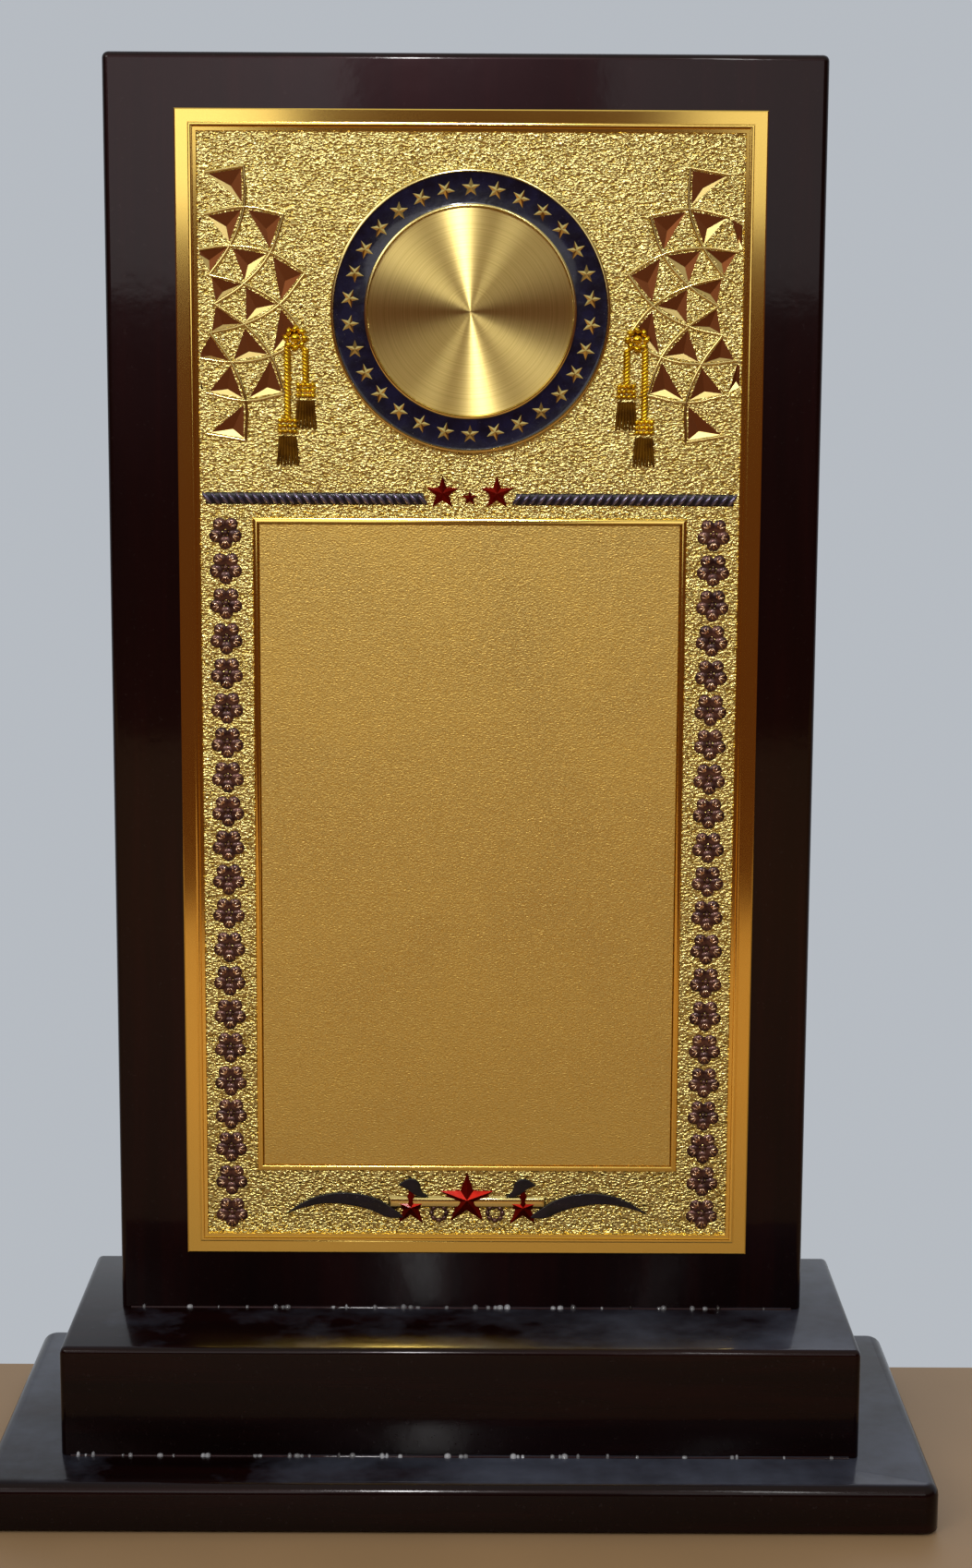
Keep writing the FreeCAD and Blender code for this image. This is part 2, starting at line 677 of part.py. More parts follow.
def petal(x, z, radius, height):
    """Low faceted mound: a wide ten-sided foot drawn in to a narrow top."""
    rings = []
    for reach, level in ((radius, 0.0), (0.82 * radius, 0.6 * height), (0.4 * radius, height)):
        points = [FreeCAD.Vector(x + reach * math.sin(math.radians(36 * k)), -level,
                                 z + reach * math.cos(math.radians(36 * k))) for k in range(10)]
        rings.append(Part.makePolygon(points + points[:1]))
    return Part.makeLoft(rings, True, True)


def rosette():
    """Five petals, one pointing down, round a small boss."""
    petals = []
    for k in range(5):
        angle = math.radians(72 * k + 36)
        petals.append(petal(2.3 * math.sin(angle), 2.1 * math.cos(angle), 1.75, 0.7))
    return petals[0].multiFuse(petals[1:] + [petal(0, 0, 1.1, 0.8)])


def make_rosettes():
    one = rosette()
    for name, x in (("rosettes_left", -61.1), ("rosettes_right", 61.1)):
        spots = [FreeCAD.Vector(x, 0, 187.5 - 8.82 * k) for k in range(ROSETTES)]
        on_face(feature(name, Part.makeCompound([one.translated(s) for s in spots])))


def rope(side):
    """Half-round bar with slanted grooves, from the divider stars to the border."""
    near, far, middle = 10.8, 66.7, 196.1
    half, high = 1.7, 0.85
    arc = Part.Arc(FreeCAD.Vector(near, 0, middle - half), FreeCAD.Vector(near, -high, middle),
                   FreeCAD.Vector(near, 0, middle + half)).toShape()
    base = Part.LineSegment(FreeCAD.Vector(near, 0, middle + half),
                            FreeCAD.Vector(near, 0, middle - half)).toShape()
    bar = Part.Face(Part.Wire([arc, base])).extrude(FreeCAD.Vector(far - near, 0, 0))
    cuts = []
    count = 24
    pitch = (far - near) / count
    for k in range(1, count):
        x = near + pitch * k
        points = [FreeCAD.Vector(x + dx, -0.35, middle + dz) for dx, dz in
                  ((-0.9, -2), (-0.6, -2), (1.0, 2), (0.7, 2))]
        face = Part.Face(Part.makePolygon(points + points[:1]))
        cuts.append(face.extrude(FreeCAD.Vector(0, -1, 0)))
    bar = bar.cut(cuts)
    if side < 0:
        bar = bar.mirror(FreeCAD.Vector(), FreeCAD.Vector(1, 0, 0))
    return bar


def make_divider():
    for name, side in (("rope_left", -1), ("rope_right", 1)):
        on_face(feature(name, rope(side)))
    stars = [peaked_star(-6.8, 197.6, 4.3, 1.2), peaked_star(6.8, 197.6, 4.3, 1.2),
             peaked_star(0.0, 196.4, 2.1, 0.8)]
    on_face(feature("divider_stars", Part.makeCompound(stars)))


def plank(points, height):
    """Flat relief of the given outline: a smooth closed curve through the points."""
    curve = Part.BSplineCurve()
    curve.interpolate([FreeCAD.Vector(x, 0, z) for x, z in points], PeriodicFlag=True)
    face = Part.Face(Part.Wire(curve.toShape()))
    return face.extrude(FreeCAD.Vector(0, -height, 0))


WING = ((20.6, 9.6), (24.5, 11.6), (29.5, 13.2), (36.0, 13.6), (42.0, 12.6), (46.2, 11.6),
        (42.0, 14.2), (36.0, 16.0), (29.5, 16.1), (24.0, 14.6), (20.4, 12.2))
CURL = ((10.4, 15.6), (12.0, 17.3), (13.0, 19.6), (15.4, 20.4), (18.4, 18.7), (16.2, 17.6),
        (14.4, 16.0), (12.2, 15.4))


def make_emblem():
    stars = [peaked_star(0.0, 14.8, 7.2, 1.5)]
    stars += [peaked_star(x, 12.7, 5.4, 1.3) for x in (-14.6, 14.6)]
    on_face(feature("emblem_stars", Part.makeCompound(stars)))
    pieces = []
    for side in (-1, 1):
        for outline in (WING, CURL):
            pieces.append(plank([(side * x, z) for x, z in outline], 0.6))
    on_face(feature("emblem_ribbons", Part.makeCompound(pieces)))


TASSELS = ((44.3, 231.4, 216.2, 212.6, 204.3), (39.8, 231.4, 225.0, 221.4, 213.4))


def bead_cord(x, high, low):
    strip = Part.makeBox(0.7, 0.3, high - low, FreeCAD.Vector(x - 0.35, -0.3, low))
    count = int((high - low) / 1.1)
    beads = [dome(x, low + 1.1 * (k + 0.5), 0.55, 0.55) for k in range(count)]
    return strip.multiFuse(beads)


def tassel_gold(side):
    knot = dome(42.3, 235.6, 3.3, 1.3)
    ring = [dome(42.3 + 2.6 * math.cos(a), 235.6 + 2.6 * math.sin(a), 0.9, 1.2)
            for a in (math.radians(45 * k) for k in range(8))]
    pieces = [knot.multiFuse(ring)]
    for x, top, head, collar, _ in TASSELS:
        pieces.append(bead_cord(x, top + 2.0, head - 1.0))
        pieces.append(dome(x, (head + collar) / 2, 2.1, 1.0))
        pieces.append(Part.makeBox(4.0, 0.8, 1.4, FreeCAD.Vector(x - 2.0, -0.8, collar - 1.2)))
    whole = pieces[0].multiFuse(pieces[1:])
    whole.translate(FreeCAD.Vector(side * LATTICE_SHIFT, 0, 0))
    if side < 0:
        whole = whole.mirror(FreeCAD.Vector(), FreeCAD.Vector(1, 0, 0))
    return whole


def tassel_skirt(side):
    skirts = []
    for x, _, _, collar, foot in TASSELS:
        x += side * LATTICE_SHIFT
        top = collar - 1.25
        outline = [(x - 2.0, top), (x + 2.0, top), (x + 2.6, foot), (x - 2.6, foot)]
        points = [FreeCAD.Vector(side * px, 0, pz) for px, pz in outline]
        face = Part.Face(Part.makePolygon(points + points[:1]))
        skirts.append(face.extrude(FreeCAD.Vector(0, -0.7, 0)))
    return skirts


def make_tassels():
    for name, side in (("tassel_left", -1), ("tassel_right", 1)):
        on_face(feature(name, tassel_gold(side)))
    on_face(feature("tassel_skirts", Part.makeCompound(tassel_skirt(-1) + tassel_skirt(1))))


# ---- build, check and write --------------------------------------------------------------------

make_board()
make_block()
make_plinth()
make_felt()
make_screws("board_screws", "board_screw_length", board_places())
make_screws("plinth_screws", "plinth_screw_length", plinth_places())
make_award_plate()
make_tapes()
make_panel()
make_disc()
make_ring()
make_rosettes()
make_divider()
make_emblem()
make_tassels()
doc.recompute()

NODES = [
    "backing_board", "base_block", "base_plinth", "base_felt", "board_screws", "plinth_screws",
    "award_plate", "plate_tape", "inscription_panel", "panel_film", "medallion_disc",
    "disc_film", "medallion_ring", "ring_enamel", "rosettes_left", "rosettes_right",
    "rope_left", "rope_right", "divider_stars", "emblem_stars", "emblem_ribbons",
    "tassel_left", "tassel_right", "tassel_skirts",
]

for item in doc.Objects:
    if "Invalid" in item.State or "Error" in item.State:
        raise RuntimeError(f"{item.Name} did not compute: {item.State}")

os.makedirs("parts", exist_ok=True)
labelled = {item.Label: item for item in doc.Objects}
for node in NODES:
    shape = labelled[node].Shape
    if shape.isNull() or not shape.isValid() or not shape.Solids:
        raise RuntimeError(f"{node} has no valid solid")
    shape.exportStep(f"parts/{node}.step")
    print(node, len(shape.Solids), "solids", round(shape.Volume, 1), "mm3")
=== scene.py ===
# %% [markdown]
# # A wooden award plaque
# The object is a tall lacquered board that stands on a two-tier wooden base. A gold plate is stuck
# to its front. The plate carries a ring of stars round a spun disc, a blank panel for an
# inscription, and ornament in coloured lacquer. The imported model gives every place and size. This
# script loads it, builds the pieces that the eye sees, and gives each one its finish.

import math
import random

import bmesh
import bpy
from mathutils import Matrix, Vector


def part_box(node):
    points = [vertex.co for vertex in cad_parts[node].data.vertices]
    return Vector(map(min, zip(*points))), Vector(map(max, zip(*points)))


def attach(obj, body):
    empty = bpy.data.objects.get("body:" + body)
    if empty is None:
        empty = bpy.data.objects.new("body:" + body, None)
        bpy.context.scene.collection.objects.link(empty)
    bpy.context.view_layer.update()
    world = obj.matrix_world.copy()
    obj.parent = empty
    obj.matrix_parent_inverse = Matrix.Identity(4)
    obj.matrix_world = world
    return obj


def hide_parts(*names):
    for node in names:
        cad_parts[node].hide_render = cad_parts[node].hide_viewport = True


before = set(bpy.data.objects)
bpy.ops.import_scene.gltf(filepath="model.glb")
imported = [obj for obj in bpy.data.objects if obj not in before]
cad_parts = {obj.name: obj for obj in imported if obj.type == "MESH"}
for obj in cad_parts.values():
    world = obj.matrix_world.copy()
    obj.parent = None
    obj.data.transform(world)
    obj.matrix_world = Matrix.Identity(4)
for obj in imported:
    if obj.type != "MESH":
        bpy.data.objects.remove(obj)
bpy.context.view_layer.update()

# %% [markdown]
# ## The camera
# It stands a little to the right of the middle and looks slightly down, from about two thirds of
# a metre. A long lens keeps the board's edges nearly upright. The camera is turned in three steps:
# a hair to one side, down by the pitch, and a touch of roll, as when it is held by hand.

# %% Camera at the viewing angle
CAMERA_PLACE = (0.0041, -0.6965, 0.2917)
PITCH, YAW, ROLL = 0.1595, -0.0025, 0.0050
SENSOR, FOCAL = 36.0, 63.15

lens = bpy.data.cameras.new("Camera")
lens.sensor_width = SENSOR
lens.lens = FOCAL
camera = bpy.data.objects.new("Camera", lens)
camera.matrix_world = (
    Matrix.Translation(CAMERA_PLACE)
    @ Matrix.Rotation(YAW, 4, "Z")
    @ Matrix.Rotation(math.pi / 2 - PITCH, 4, "X")
    @ Matrix.Rotation(ROLL, 4, "Z")
)
bpy.context.scene.collection.objects.link(camera)
bpy.context.scene.camera = camera
print("camera looks along", camera.matrix_world.to_3x3() @ Vector((0, 0, -1)))

# %% [markdown]
# ## Places on the plate
# Everything on the plate is drawn flat, in millimetres, as on a die maker's sheet: x across from
# the plate's middle, y up from its lower edge, and height above the plate's back towards the
# viewer. One matrix, `PLATE`, then stands the drawing up on the board.

# %% The plate's drawing frame
plate_low, plate_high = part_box("award_plate")
PLATE_W = (plate_high.x - plate_low.x) * 1000
PLATE_H = (plate_high.z - plate_low.z) * 1000
SHEET = 0.8   # height of the plate's field above its back
PLATE = (
    Matrix.Translation(((plate_low.x + plate_high.x) / 2, plate_high.y, plate_low.z))
    @ Matrix.Rotation(math.pi / 2, 4, "X")
    @ Matrix.Scale(0.001, 4)
)


def on_plate(node):
    """Middle of a CAD node in the plate's drawing, and its width and height, in millimetres."""
    low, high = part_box(node)
    middle = PLATE.inverted() @ ((low + high) / 2)
    return middle.x, middle.y, (high.x - low.x) * 1000, (high.z - low.z) * 1000


print(f"plate {PLATE_W:.1f} x {PLATE_H:.1f} mm, medallion at", on_plate("medallion_disc")[:2])

# %% [markdown]
# ## Turning a bmesh into a piece
# Each piece ends the same way: doubles are merged, the faces are turned outwards, edges sharper
# than an angle stay crisp, and the piece rides on the one body that this object has.

# %% Helper that finishes a piece
def piece(name, bm, finishes, stands_for=(), place=None, crisp=35.0, recalc=True):
    bmesh.ops.remove_doubles(bm, verts=bm.verts[:], dist=1e-5)
    if recalc:
        bmesh.ops.recalc_face_normals(bm, faces=bm.faces[:])
    if place is not None:
        bmesh.ops.transform(bm, matrix=place, verts=bm.verts[:])
    mesh = bpy.data.meshes.new(name)
    bm.to_mesh(mesh)
    bm.free()
    for finish in finishes:
        mesh.materials.append(finish)
    for face in mesh.polygons:
        face.use_smooth = True
    mesh.set_sharp_from_angle(angle=math.radians(crisp))
    made = bpy.data.objects.new(name, mesh)
    bpy.context.scene.collection.objects.link(made)
    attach(made, "root")
    if stands_for:
        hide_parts(*stands_for)
    print(name, len(mesh.polygons), "faces")
    return made


def stamp(bm, pattern, places):
    """Adds a copy of the pattern bmesh to bm at each place (a matrix); the pattern is used up."""
    master = bpy.data.meshes.new("pattern")
    pattern.to_mesh(master)
    pattern.free()
    for place in places:
        copy = master.copy()
        copy.transform(place)
        bm.from_mesh(copy)
        bpy.data.meshes.remove(copy)
    bpy.data.meshes.remove(master)


def moved(x, y, z=0.0, turn=0.0):
    return Matrix.Translation((x, y, z)) @ Matrix.Rotation(turn, 4, "Z")


def stretched(sx, sy, sz):
    return Matrix.Diagonal((sx, sy, sz, 1.0))


# %% [markdown]
# ## Small helpers for shader nodes
# A finish is a Principled BSDF with a few textures in front of it. `feed` fills the sockets of a
# node: each gets a plain value, or the output of another node. `node` makes a node and feeds it.
# The short functions after it make the nodes that come up again and again, and give back their
# output. `new_finish` makes the bare shader.

# %% Helpers for materials
def feed(tree, made, sockets):
    """Links each named socket to an output, or sets it to a plain value."""
    for key, value in sockets.items():
        if isinstance(value, bpy.types.NodeSocket):
            tree.links.new(value, made.inputs[key])
        else:
            made.inputs[key].default_value = value
    return made


def spaced(sockets):
    return {key.replace("_", " "): value for key, value in sockets.items()}


def node(tree, kind, sockets, **settings):
    made = tree.nodes.new("ShaderNode" + kind)
    for key, value in settings.items():
        setattr(made, key, value)
    return feed(tree, made, sockets)


def object_place(tree):
    return node(tree, "TexCoord", {}).outputs["Object"]


def noise(tree, place, size, detail=2.0, **sockets):
    return node(tree, "TexNoise", {"Vector": place, "Scale": size, "Detail": detail,
                                   **sockets}).outputs["Fac"]


def arithmetic(tree, operation, *terms, **settings):
    return node(tree, "Math", dict(enumerate(terms)), operation=operation, **settings).outputs[0]


def remap(tree, value, low, high, to_low=0.0, to_high=1.0):
    return node(tree, "MapRange", {"Value": value, "From Min": low, "From Max": high,
                                   "To Min": to_low, "To Max": to_high}).outputs["Result"]


def blend(tree, factor, first, second):
    return node(tree, "Mix", {"Factor": factor, "A": first, "B": second},
                data_type="RGBA").outputs["Result"]


def bumped(tree, height, distance, strength=1.0):
    return node(tree, "Bump", {"Height": height, "Distance": distance,
                               "Strength": strength}).outputs["Normal"]


def ramp(tree, source, stops):
    made = node(tree, "ValToRGB", {"Fac": source})
    elements = made.color_ramp.elements
    while len(elements) < len(stops):
        elements.new(0.5)
    for element, (spot, colour) in zip(elements, stops):
        element.position = spot
        element.color = (*colour, 1.0)
    return made.outputs["Color"]


def new_finish(name, **sockets):
    material = bpy.data.materials.new(name)
    material.use_nodes = True
    tree = material.node_tree
    return material, tree, feed(tree, tree.nodes["Principled BSDF"], spaced(sockets))


def new_group(name, numbers, results):
    """Node group with number inputs (name, default) and outputs (name, kind)."""
    tree = bpy.data.node_groups.new(name, "ShaderNodeTree")
    for label, default in numbers:
        socket = tree.interface.new_socket(label, in_out="INPUT", socket_type="NodeSocketFloat")
        socket.default_value = default
    for label, kind in results:
        tree.interface.new_socket(label, in_out="OUTPUT", socket_type=kind)
    return tree, tree.nodes.new("NodeGroupInput"), tree.nodes.new("NodeGroupOutput")


def use_group(tree, group, **values):
    return feed(tree, node(tree, "Group", {}, node_tree=group), spaced(values))


# %% [markdown]
# ## Dust
# Glossy things show fine dust and faint wiping marks. One group makes a mask of specks and a mask
# of soft smears from noise on Object coordinates. Every finish can mix a little of it in.

# %% Node group: dust and smears
dust, group_in, group_out = new_group(
    "Dust and smears", [("Speck size", 900.0), ("Smear size", 18.0)],
    [("Specks", "NodeSocketFloat"), ("Smears", "NodeSocketFloat")])
where = object_place(dust)
speck = noise(dust, where, group_in.outputs["Speck size"], 1.0)
smear = noise(dust, where, group_in.outputs["Smear size"], 4.0, Distortion=0.6)
feed(dust, group_out, {"Specks": remap(dust, speck, 0.70, 0.80), "Smears": smear})

# %% [markdown]
# ## Struck grain
# The gold field has a fine pebbled grain that the die leaves: short worm-like ridges, less than a
# millimetre apart, that lean a little to one side. One noise alone leaves smooth patches, so two of
# nearby sizes are added. A Mapping node turns and stretches both to give the lean, and a third and
# finer noise adds the sparkle. The group puts out a height and a mask of the hollows, and the gold
# paints its deep tone into the hollows as painted shade.

# %% Node group: struck grain
grain, group_in, group_out = new_group(
    "Struck grain", [("Pebble size", 1300.0), ("Sparkle size", 2600.0), ("Sparkle", 0.25)],
    [("Height", "NodeSocketFloat"), ("Hollow shade", "NodeSocketFloat")])
where = object_place(grain)
lean = node(grain, "Mapping", {"Vector": where, "Rotation": (0.0, math.radians(-24), 0.0),
                               "Scale": (0.68, 1.0, 1.2)}).outputs["Vector"]
pebble = noise(grain, lean, group_in.outputs["Pebble size"], 0.0, Distortion=0.5)
finer = arithmetic(grain, "MULTIPLY", group_in.outputs["Pebble size"], 1.37)
other = node(grain, "TexNoise", {"Vector": lean, "W": 3.7, "Scale": finer, "Detail": 0.0},
             noise_dimensions="4D").outputs["Fac"]
both = arithmetic(grain, "ADD", pebble, other)
sparkle = noise(grain, where, group_in.outputs["Sparkle size"], 1.0)
total = arithmetic(grain, "MULTIPLY_ADD", sparkle, group_in.outputs["Sparkle"], both)
feed(grain, group_out, {"Height": total, "Hollow shade": remap(grain, both, 1.02, 0.72)})

# %% [markdown]
# ## Settled dust and painted sheen
# Faces that look up get a thin grey-blue haze: partly dust that settles there, partly a painted
# sheen of the pale light from above. This group compares the surface's direction with straight up
# and breaks the haze up with a soft noise, so that it lies in patches.

# %% Node group: settled dust and painted sheen
settled_dust_and_sheen, group_in, group_out = new_group(
    "Settled dust and painted sheen", [("Amount", 0.5), ("Patch size", 14.0)], [("Haze and sheen", "NodeSocketFloat")])
facing = node(settled_dust_and_sheen, "NewGeometry", {}).outputs["Normal"]
upright = node(settled_dust_and_sheen, "SeparateXYZ", {"Vector": facing}).outputs["Z"]
cloud = noise(settled_dust_and_sheen, object_place(settled_dust_and_sheen), group_in.outputs["Patch size"], 6.0,
              Roughness=0.65)
patches = arithmetic(settled_dust_and_sheen, "MULTIPLY", remap(settled_dust_and_sheen, upright, 0.90, 0.99),
                     remap(settled_dust_and_sheen, cloud, 0.44, 0.66))
haze_and_sheen = arithmetic(settled_dust_and_sheen, "MULTIPLY", patches, group_in.outputs["Amount"])
feed(settled_dust_and_sheen, group_out, {"Haze and sheen": haze_and_sheen})

# %% [markdown]
# ## Lacquered wood
# The board and the base are dark mahogany under thick gloss lacquer, so dark that the grain only
# shows as a faint red-brown figure. The lacquer is a clear coat over a satin base, and the base
# mirrors a little redder than white. The grain runs up the board but along the tiers, so the
# Mapping node stretches the noise a different way on each.

# %% Finish: lacquered wood
def lacquered_wood(name, stretch, gloss=0.09, satin=0.15):
    material, tree, shader = new_finish(
        name, Roughness=0.32, Coat_Weight=0.6, Coat_Roughness=gloss, Coat_IOR=1.38,
        Specular_IOR_Level=satin, Specular_Tint=(1.0, 0.50, 0.60, 1.0))
    where = object_place(tree)
    along = node(tree, "Mapping", {"Vector": where, "Scale": stretch}).outputs["Vector"]
    figure = noise(tree, along, 1.0, 6.0, Roughness=0.62, Distortion=0.4)
    tone = ramp(tree, figure, (
        (0.30, (0.0019, 0.0005, 0.0005)), (0.52, (0.0044, 0.0008, 0.0008)),
        (0.72, (0.0100, 0.0014, 0.0013))))
    dirt = use_group(tree, dust, Speck_size=1100.0, Smear_size=22.0)
    faint = arithmetic(tree, "MULTIPLY", dirt.outputs["Specks"], 0.02)
    dusty = blend(tree, faint, tone, (0.35, 0.30, 0.30, 1.0))
    # Faces that look up get the grey-blue haze: settled dust and painted sheen together.
    film = use_group(tree, settled_dust_and_sheen, Amount=0.80, Patch_size=10.0)
    hazy_and_sheen = blend(tree, film.outputs["Haze and sheen"], dusty, (0.080, 0.092, 0.135, 1.0))
    dull = remap(tree, dirt.outputs["Smears"], 0.0, 1.0, 0.26, 0.42)
    ripple = bumped(tree, noise(tree, where, 160.0, 3.0), 0.00006, 0.5)
    feed(tree, shader, {"Base Color": hazy_and_sheen, "Roughness": dull, "Normal": ripple,
                        "Coat Normal": ripple})
    return material


wood_upright = lacquered_wood("Mahogany lacquer, grain up", (140.0, 140.0, 7.0))
wood_across = lacquered_wood("Mahogany lacquer, grain across", (7.0, 140.0, 140.0), gloss=0.11,
                             satin=0.05)
print("wood finishes made")

# %% [markdown]
# ## The board and the two tiers
# Each is a plain block of wood with its edges eased before lacquering. A cube is scaled to the CAD
# node's box and its edges are bevelled. The edge radii are the joiner's: 1.6 mm on the board and the
# upper tier, 3 mm on the lower tier's top edge with 4 mm upright corners. The foot is barely eased.

# %% Wood blocks
FOOT_EDGE = 0.0003


def wood_block(name, node_name, finish, radius, corner=None):
    low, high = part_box(node_name)
    bm = bmesh.new()
    bmesh.ops.create_cube(bm, size=1.0)
    bmesh.ops.scale(bm, vec=high - low, verts=bm.verts[:])
    bmesh.ops.translate(bm, vec=(high + low) / 2, verts=bm.verts[:])
    if corner:
        upright = [e for e in bm.edges if abs(e.verts[0].co.z - e.verts[1].co.z) > 0.001]
        bmesh.ops.bevel(bm, geom=upright, offset=corner, segments=6, profile=0.5,
                        affect="EDGES", clamp_overlap=True, material=-1)
        top = [e for e in bm.edges if min(v.co.z for v in e.verts) > high.z - 1e-5]
    else:
        top = [e for e in bm.edges if max(v.co.z for v in e.verts) > low.z + 1e-5]
    bmesh.ops.bevel(bm, geom=top, offset=radius, segments=5, profile=0.5,
                    affect="EDGES", clamp_overlap=True, material=-1)
    foot = [e for e in bm.edges if max(v.co.z for v in e.verts) < low.z + 1e-5]
    bmesh.ops.bevel(bm, geom=foot, offset=FOOT_EDGE, segments=2, profile=0.5,
                    affect="EDGES", clamp_overlap=True, material=-1)
    return piece(name, bm, [finish], [node_name], crisp=40)


wood_block("Backing_Board", "backing_board", wood_upright, 0.0016)
wood_block("Upper_Tier", "base_block", wood_across, 0.0016)
wood_block("Lower_Tier", "base_plinth", wood_across, 0.0030, corner=0.0040)

# %% [markdown]
# ## Gold finishes
# All the gold is plated brass. The surface differs: mirror polish on the border, pebbled grain
# on the field, a sandblasted satin on the panel, and fine circular brushing on the disc. One
# function makes the metal, and its numbers choose the surface. On grained gold it also paints the
# grain's hollows in the deep tone: painted shade.

# %% Finish: gold, from polished to grained
def gold(name, light, deep_and_shade, rough, pebble=0.0, size=620.0, sparkle=0.25, patch=0.5):
    material, tree, shader = new_finish(name, Metallic=1.0, Roughness=rough)
    marks = use_group(tree, dust, Speck_size=1500.0, Smear_size=30.0)
    grained = use_group(tree, grain, Pebble_size=size, Sparkle=sparkle)
    uneven = arithmetic(tree, "MULTIPLY", marks.outputs["Smears"], patch)
    # Where there is grain, its hollows take the deep tone: painted shade. The smears add random
    # patches of the same tone.
    hollow_shade_and_patches = arithmetic(tree, "MULTIPLY_ADD", grained.outputs["Hollow shade"],
                        0.8 if pebble else 0.0, uneven, use_clamp=True)
    tone = blend(tree, hollow_shade_and_patches, (*light, 1.0), (*deep_and_shade, 1.0))
    shine = remap(tree, marks.outputs["Smears"], 0.0, 1.0, rough * 0.8, rough * 1.25)
    feed(tree, shader, {"Base Color": tone, "Roughness": shine})
    if pebble:
        feed(tree, shader, {"Normal": bumped(tree, grained.outputs["Height"], pebble)})
    return material


GOLD_LIGHT, GOLD_DEEP_AND_SHADE = (0.82, 0.71, 0.29), (0.44, 0.31, 0.07)
polished_gold = gold("Polished gold", (0.95, 0.68, 0.18), (0.88, 0.56, 0.10), 0.11)
field_gold = gold("Pebbled gold field", GOLD_LIGHT, GOLD_DEEP_AND_SHADE, 0.23, pebble=0.00030, size=1600.0)
relief_gold = gold("Bright struck gold", (0.95, 0.78, 0.32), GOLD_DEEP_AND_SHADE, 0.14)
# The pits' dark red-brown gold is painted shade, and the crescents' light gold is a painted
# highlight.
pit_gold_painted_shade = gold("Shaded gold pits", (0.23, 0.075, 0.025), (0.14, 0.042, 0.014), 0.50)
crescent_gold_painted_highlight = gold("Lit gold crescents", (0.80, 0.62, 0.25), GOLD_DEEP_AND_SHADE, 0.36)
satin_gold = gold("Satin gold panel", (0.79, 0.59, 0.19), (0.74, 0.50, 0.125), 0.44,
                  pebble=0.00005, size=2400.0, sparkle=0.6, patch=0.9)
print("gold finishes made")

# %% [markdown]
# ## Corner lattices
# In each upper corner, triangles stand in rows between four arcs. The arcs share a centre just
# past the plate's edge. A point is named by its side, its arc, and its steps round the arc. Every
# triangle has its tip on one arc and its other two corners on the next smaller one.

# %% Corner lattice drawing
LATTICE_CENTRE = (82.8, 243.8)
LATTICE_SHIFT = -1.0
LATTICE_STEP = 10.0
RINGS = (43.6, 36.7, 28.3, 20.6)


def lattice_point(side, ring, steps):
    angle = math.radians(LATTICE_STEP * steps)
    x = LATTICE_CENTRE[0] - RINGS[ring] * math.cos(angle)
    return Vector((side * x + LATTICE_SHIFT, LATTICE_CENTRE[1] + RINGS[ring] * math.sin(angle), 0))


def lattice_triangles():
    for side in (-1, 1):
        for ring in (0, 1, 2):
            tips = (5, 3, 1, -1, -3, -5) if ring % 2 == 0 else (4, 2, 0, -2, -4)
            for tip in tips:
                yield [lattice_point(side, ring, tip), lattice_point(side, ring + 1, tip + 1),
                       lattice_point(side, ring + 1, tip - 1)]


print(len(list(lattice_triangles())), "triangles in the lattice")

# %% [markdown]
# ## Blank and border
# The blank starts as one rectangle. Repeated insets walk in from its edge and rise or fall as they
# go: an eased edge, the polished band, a raised bead with sloping shoulders, a lower ledge, and
# the step down to the field. The bead's upper slope catches the light from above.

# %% Struck blank with its border
BLANK, EASED, BAND, BEAD, LEDGE = 0.45, 0.3, 3.4, 1.3, 1.0
STEP, CROWN = 0.16, 0.42


def rectangle(bm, width, height, x=0.0, y=0.0, z=0.0):
    made = bmesh.ops.create_grid(bm, x_segments=1, y_segments=1, size=0.5)
    bmesh.ops.scale(bm, vec=(width, height, 1), verts=made["verts"])
    bmesh.ops.translate(bm, vec=(x, y, z), verts=made["verts"])
    return made["verts"][0].link_faces[0]


def raised(bm, face, height):
    """Extrudes a face towards the viewer and gives back its new top."""
    lifted = bmesh.ops.extrude_face_region(bm, geom=[face])["geom"]
    bmesh.ops.translate(bm, vec=(0, 0, height),
                        verts=[g for g in lifted if isinstance(g, bmesh.types.BMVert)])
    return [g for g in lifted if isinstance(g, bmesh.types.BMFace)][0]


def walk_in(bm, face, steps):
    """Insets a face again and again; each step is (distance in, height change)."""
    for inward, rise in steps:
        bmesh.ops.inset_region(bm, faces=[face], thickness=inward, depth=rise,
                               use_even_offset=True, use_boundary=True)
    return face


bm = bmesh.new()
top = raised(bm, rectangle(bm, PLATE_W, PLATE_H, 0, PLATE_H / 2), BLANK)
field = walk_in(bm, top, (
    (EASED, 0.20), (BAND - EASED - STEP, 0.10), (STEP, 0.81), (CROWN, 0.09),
    (BEAD - 2 * (STEP + CROWN), 0.0), (CROWN, -0.09), (STEP, -0.33), (LEDGE - STEP, 0.0),
    (STEP, -0.43)))
print("field starts at", min(v.co.x for v in field.verts) + PLATE_W / 2, "mm from the edge")
field_size = [max(v.co[k] for v in field.verts) - min(v.co[k] for v in field.verts)
              for k in (0, 1)]
bmesh.ops.delete(bm, geom=[field], context="FACES_ONLY")
piece("Struck_Border", bm, [polished_gold], ["award_plate"], PLATE, crisp=15,
      recalc=False)

# %% [markdown]
# ## The field with its pits
# The lattice's triangles are sunk into the sheet as three-sided pits. The triangles are drawn
# first, trimmed at the border by a bisecting plane, and the sheet is filled in round them. A poke
# with a negative offset then pushes each triangle's middle down. The deepest point lies low in
# each pit, so the lower wall is narrow. Walls that face up are given a light gold, a painted
# highlight, and the other walls a dark red-brown gold, painted shade.

# %% Pebbled field and lattice pits
PIT_SHRINK, PIT_DEPTH, PIT_DROP = 0.84, 0.60, 1.0
TRIM = 0.4


def face_viewer(bm):
    for face in bm.faces:
        if face.normal.z < 0:
            face.normal_flip()


